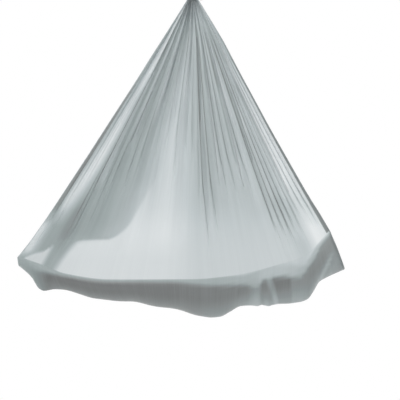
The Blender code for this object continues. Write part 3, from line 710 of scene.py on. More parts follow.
        # Painted shade in the valley above the flap's foot.
        valley = through(((1.04, -0.530), (1.19, -0.526), (1.34, -0.515)), depth)
        deep = ((1.0, 0.0), (1.11, 0.12), (1.19, 0.13), (1.26, 0.04), (1.34, -0.05))
        tone += through(deep, depth) * bell(slope, valley, 0.024)
        flat = smooth(-0.008, 0.012, depth - through(self.flap_foot_profile, slope))
        flat *= (1 - smooth(-0.566, -0.538, slope)) * (1 - smooth(0.626, 0.640, -slope))
        return tone * (1 - flat) + 0.07 * flat

    def zone_tone(self, slope: Array, depth: Array) -> Array:
        """How dark the outer sheet is above the rim, from 0 to 1."""
        tone = through(self.depth_tones, depth)
        # Painted light: the sheet is paler towards the foot end and the head end.
        foot = ((0.2, 0.0), (0.5, 0.18), (0.84, 0.21), (1.19, 0.27), (1.34, 0.15))
        tone -= through(foot, depth) * (1 - smooth(-0.11, 0.03, slope))
        head = ((0.15, 0.05), (0.25, 0.11), (0.54, 0.30), (0.84, 0.36), (1.04, 0.30))
        tone -= through(head, depth) * smooth(0.445, 0.505, slope)
        tone += sum(Band(*band).added(slope, depth) for band in self.single_bands)
        inside = self.behind_flap(slope, depth)
        soft = 0.003 * smooth(0.90, 1.00, depth) + 0.012 * smooth(1.24, 1.26, depth)
        doubled = smooth(-0.005 - soft, 0.006 + soft, inside)
        return tone * (1 - doubled) + self.doubled_zone_tone(slope, depth) * doubled

    def build(self, material: Material) -> Piece:
        """Makes the sheet, row after row from the front knot to the rear one."""
        downs = self.row_shares()
        rows = [self.layer_row(down, -1) for down in downs]
        rows += [self.trough_row(angle) for angle in self.trough_angles()]
        rows += [self.layer_row(down, 1) for down in downs[::-1]]
        grid = np.array([points for points, _ in rows])
        sheet = grid_object(self.name, grid, self.cut_map(grid), material)
        set_tone(sheet, np.concatenate([tones for _, tones in rows]), self.finish.palest)
        return sheet

    @staticmethod
    def cut_map(grid: Array) -> Array:
        """Where each point of the grid lies on the flat cut, in metres."""
        across = lengths_along(grid[len(grid) // 4])
        along = lengths_along(grid[:, grid.shape[1] // 2])
        across, along = across * (FLAT_WIDTH / across[-1]), along * (FLAT_LENGTH / along[-1])
        return np.stack(np.meshgrid(across, along), axis=-1)

    def layer_row(self, down: float, side: int) -> tuple[Array, Array]:
        """One row of the front or rear layer, with its flap and its rolled edge.

        Args:
            down: The row's share of the way from the neck to the rim.
            side: -1 in front, 1 at the rear.

        Returns:
            The row's points and their tones.
        """
        slopes = self.slopes
        depth = self.depth_at(self.rim_x, down)
        shift, lift, line = self.pleated(depth)
        share = self.share_at(slopes)
        spread = smooth(0.0, 0.16, down)
        disc = np.sqrt(np.clip(1 - (2 * share - 1) ** 2, 0.0, 1.0)) * self.bundle_radius
        widest = max(crease.half_width for crease in self.creases)
        thick = lift * depth * 0.95 * spread + disc * (lift / widest) * (1 - spread)
        thick = np.clip(thick, -self.bundle_radius, self.bundle_radius)
        waves = self.waves(share, side) * smooth(0.0, 0.26, down) * (1 - smooth(0.5, 1.0, down))
        lean = self.lean(slopes, depth)
        x = (slopes + shift) * depth + lean
        y = side * (self.out_at(self.rim_x, down) + self.wave_depth * waves + thick)
        outer = np.stack([x, y, self.apex_z - depth], axis=1)
        below_neck = smooth(0.02, 0.22, depth)
        tone = self.zone_tone(slopes + lean / depth, depth)
        # Painted shadow along the pleats' edges. Just below the knot the cloth is painted paler, against
        # the shade of its tight gathers.
        tone += line * below_neck - 0.40 * (1 - below_neck)
        # Painted shade of the rolled layers: a darker band beside the roll.
        selvedge = through(self.selvedge_profile, depth)
        in_selvedge = 1 - smooth(selvedge - 0.0015, selvedge + 0.0015, x[-1] - x)
        tone += (self.selvedge_tone - tone) * in_selvedge * (selvedge > 0)
        at_rim = smooth(-0.005, 0.0, (down - 1) * self.rim_depth_at(self.rim_x))
        tone += (self.trough_tone(x, depth, 0.0) - tone) * at_rim
        inward = np.array([0.0, -side, 0.0])
        grown = smooth(0.0, 0.30, down)
        radius = self.fold_radius * (0.25 + 0.75 * grown)
        radius += (self.corner_radius - self.fold_radius) * smooth(1.24, 1.31, depth[0])
        flap = self.flap_row(down, side, grown, radius)
        turn = self.turned_in(outer[0], inward, radius)
        roll = self.rolled(outer[-1], inward, 0.35 + 0.65 * grown)
        # The roll itself is painted darker as it winds in: painted shade between its layers.
        after = float(through(((0.20, 0.45), (0.40, 0.66), (0.60, 0.74)), depth[-1]))
        return self.whole_row(flap, turn, outer, roll, (0.44, tone, after))

    @staticmethod
    def whole_row(flap: Array, turn: Array, outer: Array, roll: Array, tones: Any) -> tuple[Array, Array]:
        """A row's points and tones, from the flap's selvedge round the fold to the roll."""
        before, tone, after = tones
        before = np.full(len(flap) + len(turn), before)
        points = np.concatenate([flap[::-1], turn[::-1], outer, roll])
        return points, np.concatenate([before, tone, np.full(len(roll), after)])

    @staticmethod
    def waves(share: Array, side: int) -> Array:
        """The broad main folds across a layer, from -1 to 1."""
        column = share * 22
        size = 0.62 + 0.38 * np.sin(1.9 * column + (2.0 if side > 0 else 0.4))
        ends = smooth(0.0, 0.04, share) * smooth(0.0, 0.04, 1 - share)
        return -side * np.cos(math.pi * column) * size * ends

    def flap_line(self, inner_x: float, radius: float, inset: float) -> tuple[Array, ...]:
        """One row of the flap, flat.

        Args:
            inner_x: Where the line at its selvedge meets the rim.
            radius: The fold's radius.
            inset: How far inside the outer sheet the flap lies away from the fold.

        Returns:
            The shares of its width, where its lines meet the rim, and how far inside it lies.
        """
        share = np.linspace(0.0, 1.0, self.flap_columns + 1)[1:]
        inside = 2 * radius + (inset - 2 * radius) * smooth(0.0, 0.5, share)
        return share, self.foot_rim_x + (inner_x - self.foot_rim_x) * share, inside

    def flap_row(self, down: float, side: int, grown: float, radius: float) -> Array:
        """The part of a layer's row that is turned in, from the fold to its selvedge."""
        inner_x = self.foot_rim_x
        for _ in range(8):
            slope = float(through(self.flap_profile, self.depth_at(inner_x, down)))
            inner_x = slope * float(self.rim_depth_at(inner_x))
        share, xs, inset = self.flap_line(inner_x, radius, self.flap_inset * grown)
        rim = self.rim_depth_at(xs)
        depth = self.depth_at(xs, down)
        out = self.out_at(xs, down)
        flutter = 0.004 * grown * np.sin(share * 23.0 + 1.0) * smooth(0.0, 0.1, share)
        x = xs / rim * depth + self.lean(xs / rim, depth)
        y = side * (out - np.minimum(inset, out * 0.8) + flutter)
        return np.stack([x, y, self.apex_z - depth], axis=1)

    def turned_in(self, edge: Array, inward: Array, radius: float) -> Array:
        """The half turn of the fold at the foot end, from the outer sheet's edge inwards."""
        angle = np.linspace(0.0, math.pi, self.fold_columns + 1)[1:]
        across = -radius * np.sin(angle)
        depth = radius * (1 - np.cos(angle))
        return edge + across[:, None] * (1.0, 0.0, 0.0) + depth[:, None] * inward

    def rolled(self, edge: Array, inward: Array, scale: float) -> Array:
        """The rolled selvedge at the head end."""
        share = np.linspace(0.0, 1.0, self.roll_columns + 1)[1:]
        angle = 2 * math.pi * self.roll_turns * share
        radius = scale * (self.roll_radius + (self.roll_core - self.roll_radius) * share)
        across = radius * np.sin(angle)
        depth = scale * self.roll_radius - radius * np.cos(angle)
        return edge + across[:, None] * (1.0, 0.0, 0.0) + depth[:, None] * inward

    def trough_row(self, angle: float) -> tuple[Array, Array]:
        """One row of the trough.

        Args:
            angle: 0 at the front rim, pi at the rear rim.

        Returns:
            The row's points and their tones.
        """
        share = self.share_at(self.slopes)
        out = np.array([0.0, -math.cos(angle), -math.sin(angle)])
        near_rim = min(angle, math.pi - angle)
        held = 1 - smooth(0.0, 0.5, near_rim)
        bulge = self.rim_bulge * bell(near_rim, 0.22, 0.16) * smooth(0.0, 0.1, share)
        puckers = self.puckers(self.rim_x, angle) + bulge * smooth(0.0, 0.1, 1 - share)
        outer = self.trough_points(self.rim_x, self.slopes, angle, held) + puckers[:, None] * out
        roll = self.rolled(outer[-1], -out, 1.0)
        radius = self.fold_radius + (self.corner_radius - self.fold_radius) * (1 - 0.6 * (1 - held))
        turn = self.turned_in(outer[0], -out, radius)
        sunk = math.sin(angle)
        rim_end = float(through(self.flap_profile, self.flap_rim_depth)) * self.flap_rim_depth
        inner_x = rim_end + (self.flap_keel_x - rim_end) * sunk
        _, xs, inset = self.flap_line(inner_x, radius, self.flap_inset)
        inset = np.minimum(inset, 0.8 * self.out_at(xs))
        flap = self.trough_points(xs, xs / self.rim_depth_at(xs), angle, held) - inset[:, None] * out
        tone = self.trough_tone(outer[:, 0], self.apex_z - outer[:, 2], sunk)
        return self.whole_row(flap, turn, outer, roll, (0.62, tone, 0.80))

    def trough_points(self, rim_x: Array, slope: Array, angle: float, held: float) -> Array:
        """The smooth trough, with no pucker.

        Args:
            rim_x: Where its lines meet the rim.
            slope: The slopes of the fan's lines that they carry on.
            angle: 0 at the front rim, pi at the rear rim.
            held: How much of the fan's lean is left, from 1 at the rims to 0.

        Returns:
            The points.
        """
        sunk = math.sin(angle)
        keel_x = self.foot_keel_x + (self.head_keel_x - self.foot_keel_x) * self.share_at(slope)
        keel = self.rim_depth + through(self.keel_profile, keel_x)
        rim = self.rim_depth_at(rim_x)
        x = rim_x + (keel_x - rim_x) * sunk + self.lean(slope, rim) * held
        y = -self.out_at(rim_x) * math.cos(angle)
        return np.stack([x, y, self.apex_z - (rim + (keel - rim) * sunk)], axis=1)

    @staticmethod
    def puckers(rim_x: Array, angle: float) -> Array:
        """How far the trough's short wrinkles stand out."""
        low = math.sin(angle)
        found = 0.0015 * np.sin(rim_x * 34.0 + 1.3 * angle) * low
        for height, place, width, start, end in (
            (0.0030, 0.335, 0.010, 0.15, 0.5), (-0.0040, 0.360, 0.010, 0.15, 0.5),
            (0.0045, 0.394, 0.012, 0.10, 0.4), (-0.0045, 0.450, 0.030, 0.20, 0.6),
        ):
            found += height * bell(rim_x, place, width) * smooth(start, end, low)
        return found

    def trough_tone(self, x: Array, depth: Array, low: float) -> Array:
        """How dark the trough is.

        Args:
            x: Where its points are along the hammock.
            depth: Their depths.
            low: 0 at the rim, 1 at the keel.

        Returns:
            The tone of each point.
        """
        # Painted shade below the rim: a pale edge, then painted grey and dark, paler towards the keel,
        # with lighter and darker wrinkles.
        lean = through(self.wrinkle_leans, x) * smooth(0.30, 0.34, x)
        dark = through(self.trough_tones, x - lean * (depth - self.wrinkle_depth))
        paler = ((0.0, 0.11), (0.11, 0.22), (0.20, 0.16), (0.29, 0.26), (0.50, 0.28), (0.62, 0.12))
        dark -= through(paler, x) * smooth(0.5, 1.0, low)
        dark -= 0.24 * bell(x + 0.45 * (depth - 1.38), 0.661, 0.011) * smooth(1.27, 1.34, depth)
        pale = through(((0.10, 0.20), (0.50, 0.25), (0.55, 0.32), (0.60, 0.22), (0.68, 0.02)), x)
        grey = through(((0.11, 0.62), (0.30, 0.55), (0.36, 0.45), (0.49, 0.45), (0.55, 0.52)), x)
        soft = 0.011 + 0.011 * bell(x, 0.44, 0.08)
        turned = smooth(-soft, soft, depth - through(self.grey_profile, x))
        deep = smooth(-0.014, 0.014, depth - through(self.dark_profile, x))
        return pale + (grey - pale) * turned + (dark - grey) * deep


def linked(name: str, data: Any) -> Piece:
    """A new object in the scene, for a mesh, a lamp or a lens."""
    made = bpy.data.objects.new(name, data)
    bpy.context.scene.collection.objects.link(made)
    return made


def meshed(name: str, points: Any, faces: Any, material: Material) -> Piece:
    """A new piece from points and faces, smooth all over."""
    mesh = bpy.data.meshes.new(name)
    mesh.from_pydata(points, [], faces)
    mesh.shade_smooth()
    mesh.materials.append(material)
    return linked(name, mesh)


def grid_object(name: str, grid: Array, flat: Array, material: Material) -> Piece:
    """A new piece from a grid of points.

    Args:
        name: The piece's name.
        grid: Points as rows by columns by 3.
        flat: Places on the flat cut, as rows by columns by 2, for the UV map cut.
        material: Its material.

    Returns:
        The piece.
    """
    index = np.arange(grid[..., 0].size).reshape(grid.shape[:2])
    corners = (index[:-1, :-1], index[1:, :-1], index[1:, 1:], index[:-1, 1:])
    quads = np.stack(corners, axis=-1).reshape(-1, 4)
    piece = meshed(name, grid.reshape(-1, 3).tolist(), quads.tolist(), material)
    layer = piece.data.uv_layers.new(name="cut")
    layer.data.foreach_set("uv", flat.reshape(-1, 2)[quads.reshape(-1)].ravel())
    return piece


def set_tone(piece: Piece, tones: Array, palest: float = 0.0) -> None:
    """Stores how dark each point is, for the cloth's material."""
    held = piece.data.attributes.new("tone", "FLOAT", "POINT")
    held.data.foreach_set("value", np.clip(tones, palest, 1.0).astype(np.float32))


def smooth_path(points: Sequence[Colour], spacing: float) -> Array:
    """Points at an even spacing along a smooth curve through the given points."""
    held = np.array(points, dtype=float)
    padded = np.vstack([2 * held[0] - held[1], held, 2 * held[-1] - held[-2]])
    share = np.linspace(0.0, 1.0, 16, endpoint=False)[:, None]
    found = []
    for a, b, c, d in zip(padded, padded[1:], padded[2:], padded[3:]):
        square = (2 * a - 5 * b + 4 * c - d) * share**2
        cube = (3 * b - a - 3 * c + d) * share**3
        found.append(0.5 * (2 * b + (c - a) * share + square + cube))
    dense = np.vstack([*found, held[-1:]])
    along = lengths_along(dense)
    marks = np.linspace(0.0, along[-1], max(2, round(along[-1] / spacing)) + 1)
    return np.stack([np.interp(marks, along, axis) for axis in dense.T], axis=1)


def carried_frames(path: Array) -> tuple[Array, Array]:
    """Two directions square to a path at each of its points, with no twist between them."""
    tangents = np.gradient(path, axis=0)
    tangents /= np.linalg.norm(tangents, axis=1, keepdims=True)
    side = np.cross(tangents[0], (1.0, 0.0, 0.0))
    side /= np.linalg.norm(side)
    sides = []
    for tangent in tangents:
        side = side - tangent * np.dot(side, tangent)
        side /= np.linalg.norm(side)
        sides.append(side)
    firsts = np.array(sides)
    return firsts, np.cross(tangents, firsts)


@dataclass
class NooseKnot:
    """The cloth's gathered end: up over the carabiner, down, round itself and out in a tail."""

    side: Side
    bundle_radius: float = 12.5 * MM
    length: float = 130.0 * MM
    shift_start: float = 8.0 * MM
    shift_end: float = 50.0 * MM
    wrap_start: float = 45.0 * MM
    wrap_gap: float = 1.0 * MM
    wrap_turns: float = 1.55
    entry_angle: float = 60.0
    entry_drop: float = 15.0 * MM
    tail_length: float = 50.0 * MM
    tail_drop: float = 16.0 * MM
    into_cloth: float = 5.0 * MM
    ring_spacing: float = 2.2 * MM
    around: int = 84
    gathers: int = 11
    gather_depth: float = 0.17
    twist: float = 16.0
    flare: float = 0.22
    # The raw end's rings, turned into the tail: (share of its size, how far in, in millimetres).
    raw_end: Curve = ((0.88, -1.2), (0.72, -0.4), (0.52, 1.6), (0.30, 3.0), (0.05, 3.6))

    def route(self) -> list[Colour]:
        """The bundle's middle line, with the carabiner's rod crossing YZ at the origin."""
        loop = ROD_RADIUS + SEAT + self.bundle_radius
        wrap = 2 * self.bundle_radius + self.wrap_gap
        found = [(0.0, 0.0, -self.length), (0.0, 0.0, -(self.length + self.shift_end) / 2)]
        for step in range(6):
            depth = self.shift_end + (self.shift_start - self.shift_end) * step / 5
            share = 1 - float(smooth(self.shift_start, self.shift_end, depth))
            found.append((0.0, loop * share, -depth))
        for step in range(13):
            angle = math.pi * step / 12
            found.append((0.0, loop * math.cos(angle), loop * math.sin(angle)))
        for step in range(1, 4):
            depth = self.wrap_start * step / 4
            share = float(smooth(0.0, self.wrap_start, depth))
            found.append((0.0, -loop + (loop - wrap) * share, -depth))
        entry = math.radians(self.entry_angle)
        per_radian = wrap / (2 * math.pi)
        turns = []
        for share in (0.0, 0.2, 0.4, 0.6, 0.8, 1.0):
            sink = 2 * entry * per_radian * share + self.entry_drop * (2 * share - share * share)
            turns.append((entry * share * share, -self.wrap_start - sink))
        start = self.wrap_start + 2 * entry * per_radian + self.entry_drop
        steps = round(self.wrap_turns * 20)
        for step in range(1, steps + 1):
            sweep = 2 * math.pi * self.wrap_turns * step / steps
            turns.append((entry + sweep, -start - per_radian * sweep))
        found += [(wrap * math.sin(angle), -wrap * math.cos(angle), z) for angle, z in turns]
        last, before = Vector(found[-1]), Vector(found[-2])
        out = (last - before).normalized()
        for share in (0.25, 0.5, 0.75, 1.0):
            sag = Vector((0.0, 0.0, -self.tail_drop * share * share))
            found.append(tuple(last + out * self.tail_length * share + sag))
        return found

    def build(self, material: Material) -> Piece:
        """Makes the knot of one side where its node stands."""
        low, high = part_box(f"carabiner_{self.side.value}_lower")
        path = smooth_path(self.route(), self.ring_spacing)
        path = np.vstack([path[0] - (0.0, 0.0, self.into_cloth), path])
        firsts, seconds = carried_frames(path)
        along = np.linspace(0.0, 1.0, len(path))[:, None]
        angle = np.linspace(0.0, 2 * math.pi, self.around + 1)[None, :]
        turn = self.twist * along + 0.5 * np.sin(9.0 * along)
        fold = np.abs(np.sin(angle * self.gathers / 2 + turn))
        fine = np.abs(np.sin(angle * (self.gathers - 2) - 0.6 * turn + 1.1))
        ridge = 0.72 * fold**0.7 + 0.28 * fine**0.8
        open_out = 1 + self.flare * smooth(0.90, 1.0, along)
        depth = self.gather_depth * (1 + 0.8 * smooth(0.92, 1.0, along))
        radius = self.bundle_radius * open_out * (1 - depth * (1 - ridge))
        ring = np.cos(angle)[..., None] * firsts[:, None] + np.sin(angle)[..., None] * seconds[:, None]
        grid = path[:, None] + ring * radius[..., None]
        # Painted shade in the hollows between the gathers.
        grid, shades = self.with_raw_end(grid, 0.34 + 0.42 * (1 - ridge), path)
        turned = -1.0 if self.side is Side.REAR else 1.0
        middle = (0.0, (low[1] + high[1]) / 2, low[2] + ROD_RADIUS)
        grid = grid * (turned, turned, 1.0) + middle
        across = np.linspace(0.0, FLAT_WIDTH, grid.shape[1])
        flat = np.stack(np.meshgrid(across, np.arange(len(grid)) * self.ring_spacing), axis=-1)
        piece = grid_object(f"knot_of_cloth_{self.side.value}", grid[:, ::-1], flat, material)
        set_tone(piece, shades[:, ::-1].ravel())
        return piece

    def with_raw_end(self, grid: Array, shades: Array, path: Array) -> tuple[Array, Array]:
        """Turns the tail's end inwards, so that the gathered raw edge shows and no hole does."""
        centre, step = path[-1], path[-1] - path[-2]
        inward = step / np.linalg.norm(step)
        rows, tones = [], []
        for index, (share, sink) in enumerate(self.raw_end):
            swirl = 1 + 0.10 * np.sin(np.linspace(0, 14 * math.pi, grid.shape[1]) + index)
            swirl[-1] = swirl[0]
            rows.append(centre + (grid[-1] - centre) * (share * swirl)[:, None] - inward * sink * MM)
            # Painted shade, deeper towards the middle of the turned-in end.
            tones.append(np.clip(shades[-1] + 0.06 * index, 0.0, 1.0))
        return np.vstack([grid, rows]), np.vstack([shades, tones])


@dataclass(frozen=True)
class Webbing:
    """Black polyester strap webbing with its ribs across, and the thread of its bar tacks."""

    name: str = "strap_webbing"
    thread_name: str = "tack_thread"
    dark: Colour = (0.012, 0.012, 0.014)
    light: Colour = (0.060, 0.060, 0.066)
    roughness: float = 0.78
    rib_pitch: float = 1.15 * MM

    def material(self) -> Material:
        """Ribs and yarns along the strap's UV map, in metres."""
        bench = NodeBench(self.name)
        cut = bench.flat_place()
        scaled = bench.scaled(cut, 1.0 / self.rib_pitch, 1.0 / self.rib_pitch, 1.0)
        weave = bench.wave(scaled, "Y", 0.314) * 0.62 + bench.wave(scaled, "X", 0.42) * 0.38
        wear = bench.noise(cut, 90.0, 3.0)
        shade = (weave * 0.7 + (wear - 0.5) * 0.5).clamped()
        shader = bench.principled({
            "Base Color": bench.ramp(shade, (0.0, self.dark), (1.0, self.light)),
            "Roughness": wear * 0.12 + (self.roughness - 0.06),
            "Sheen Weight": 0.3,
            "Sheen Roughness": 0.4,
            "Normal": bench.bump(weave, 0.7, 0.35 * MM),
        })
        return bench.finish(shader)

    def thread_material(self) -> Material:
        """Twisted sewing thread, a little shinier than the strap."""
        bench = NodeBench(self.thread_name)
        twist = bench.noise(bench.coordinates(), 1800.0, 1.0)
        colour = bench.ramp(twist, (0.3, self.dark), (0.75, self.light))
        inputs = {"Base Color": colour, "Roughness": twist * 0.2 + 0.4, "Sheen Weight": 0.2}
        return bench.finish(bench.principled(inputs))


@dataclass
class DaisyChain:
    """The sewn strap of one side: an eye at each end, pockets between, and bar tacks."""

    side: Side
    span: float = 300.0 * MM
    width: float = 18.0 * MM
    thickness: float = 2.2 * MM
    edge_radius: float = 0.7 * MM
    eye_length: float = 34.0 * MM
    pockets: int = 4
    tack: float = 11.0 * MM
    bulge: float = 3.4 * MM
    stitch_radius: float = 0.34 * MM
    stitch_pitch: float = 0.85 * MM
    stitch_rings: tuple[float, ...] = (-1.0, -0.86, 0.0, 0.86, 1.0)
    stitch_sides: int = 6
    tack_margin: float = 1.6 * MM

    @cached_property
    def eye_radius(self) -> float:
        """The strap's inner radius, clear of a rod that curves up across its width."""
        reach = BOW_RADIUS - ROD_RADIUS
        return BOW_RADIUS - math.sqrt(reach * reach - (self.width / 2) ** 2) + SEAT

    @cached_property
    def ends(self) -> Pair:
        """The heights below the upper rod at which the two layers come together and part."""
        lean = math.asin(self.eye_radius / self.eye_length)
        join = self.eye_length + self.thickness * math.tan(lean / 2)
        return -join, join - self.span

    def loop(self) -> list[Pair]:
        """The webbing's closed middle line as (across, up): up one side and down the other."""
        half = self.thickness / 2
        radius = self.eye_radius + half
        start, end = self.ends
        lean = math.asin(self.eye_radius / self.eye_length)
        angles = np.linspace(-lean, math.pi + lean, 28)
        top = [(radius * math.cos(angle), radius * math.sin(angle)) for angle in angles]
        bottom = [(x, -self.span - z) for x, z in reversed(top)]
        pitch = (start - end) / self.pockets
        left: list[Pair] = []
        for pocket in range(self.pockets):
            high = start - pitch * pocket - self.tack / 2
            left += [(-half, high + self.tack * share) for share in (0.40, 0.2)]
            for share in np.linspace(0.0, 1.0, 15):
                out = self.bulge * math.sin(math.pi * share) ** 2
                left.append((-half - out, high - (pitch - self.tack) * share))
        left += [(-half, end + self.tack * share) for share in (0.3, 0.1)]
        right = [(half, end + (start - end) * share) for share in np.linspace(0.02, 0.98, 40)]
        return top + left + bottom + right

    def build(self, webbing: Material, thread: Material) -> Piece:
        """Makes the strap and its bar tacks where the node stands."""
        low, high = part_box(f"daisy_chain_{self.side.value}")
        middle = ((low[0] + high[0]) / 2, (low[1] + high[1]) / 2)
        rod_z = high[2] - self.eye_radius - self.thickness
        facing = 1.0 if self.side is Side.FRONT else -1.0
        line = np.array(self.loop())
        steps = np.roll(line, -1, axis=0) - np.roll(line, 1, axis=0)
        normals = steps[:, ::-1] * (1.0, -1.0)
        normals /= np.linalg.norm(normals, axis=1, keepdims=True)
        closed, normals = np.vstack([line, line[:1]]), np.vstack([normals, normals[:1]])
        section = np.array(self.section())
        across, out = np.vstack([section, section[:1]]).T
        place = closed[:, None] + normals[:, None] * out[:, None]
        x = np.broadcast_to(middle[0] + across, place.shape[:2])
        grid = np.stack([x, middle[1] + facing * place[..., 0], rod_z + place[..., 1]], axis=-1)
        flat = np.stack(np.meshgrid(across, lengths_along(closed)), axis=-1)
        strap = grid_object(f"strap_{self.side.value}", grid, flat, webbing)
        face_outwards(strap)
        self.tacks(middle, rod_z, thread).parent = strap
        return strap

    def section(self) -> list[Pair]:
        """The webbing's cross-section as (across, out), with its two rounded selvedges."""
        reach, half, edge = self.width / 2, self.thickness / 2, self.edge_radius
        flat = [(-reach + edge + (self.width - 2 * edge) * step / 6, half) for step in range(7)]
        turns = [math.radians(angle) for angle in (60, 30, 0, -30, -60)]
        right = [(reach - edge + edge * math.cos(turn), half * math.sin(turn)) for turn in turns]
        return flat + right + [(-x, -z) for x, z in flat + right]

    def tacks(self, middle: Pair, rod_z: float, thread: Material) -> Piece:
        """The raised threads of every bar tack, on both faces of the strap."""
        points: list[Colour] = []
        faces: list[Face] = []
        start, end = self.ends
        count = int((self.tack - self.tack_margin) / self.stitch_pitch)
        for tack in range(self.pockets + 1):
            for face in (-1, 1):
                for index in range(count):
                    slant = 0.30 * self.stitch_pitch * (1 if index % 2 else -1)
                    z = rod_z + (start + (end - start) * tack / self.pockets)
                    z += (index - (count - 1) / 2) * self.stitch_pitch
                    faces += self.stitch_faces(len(points))
                    points += self.stitch_points(middle, face, z, slant)
        piece = meshed(f"bar_tacks_{self.side.value}", points, faces, thread)
        face_outwards(piece)
        return piece

    def stitch_points(self, middle: Pair, face: int, z: float, slant: float) -> list[Colour]:
        """The points of one thread across the strap, sunk into it at both ends."""
        reach = self.width / 2 - self.tack_margin
        radius = self.stitch_radius
        found = []
        for share in self.stitch_rings:
            lift = -0.6 * radius if abs(share) == 1.0 else 0.35 * radius
            for corner in range(self.stitch_sides):
                turn = 2 * math.pi * corner / self.stitch_sides
                y = middle[1] + face * self.thickness + face * lift + radius * math.cos(turn)
                up = slant * share + radius * math.sin(turn)
                found.append((middle[0] + reach * share, y, z + up))
        return found

    def stitch_faces(self, first: int) -> list[Face]:
        """The faces of one thread, closed at both ends, from its first point's number."""
        sides = self.stitch_sides
        last = first + (len(self.stitch_rings) - 1) * sides
        found = []
        for ring in range(first, last, sides):
            for corner in range(sides):
                a, b = ring + corner, ring + (corner + 1) % sides
                found.append((a, b, b + sides, a + sides))
        ends = tuple(range(first + sides - 1, first - 1, -1)), tuple(range(last, last + sides))
        return [*found, *ends]


def face_outwards(piece: Piece) -> None:
    """Merges a piece's doubles and turns its faces outwards, in edit mode."""
    Workshop.open(piece)
    bpy.ops.mesh.remove_doubles(threshold=1e-6)
    bpy.ops.mesh.normals_make_consistent(inside=False)
    Workshop.close()


def dress(piece: Piece, node: str, body: str) -> None:
    """Puts a piece on its body, in its node's place, hides the node, and reports it."""
    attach(piece, body)
    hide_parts(node)
    log.info("%s: %d faces, rides on %s", piece.name, len(piece.data.polygons), body)


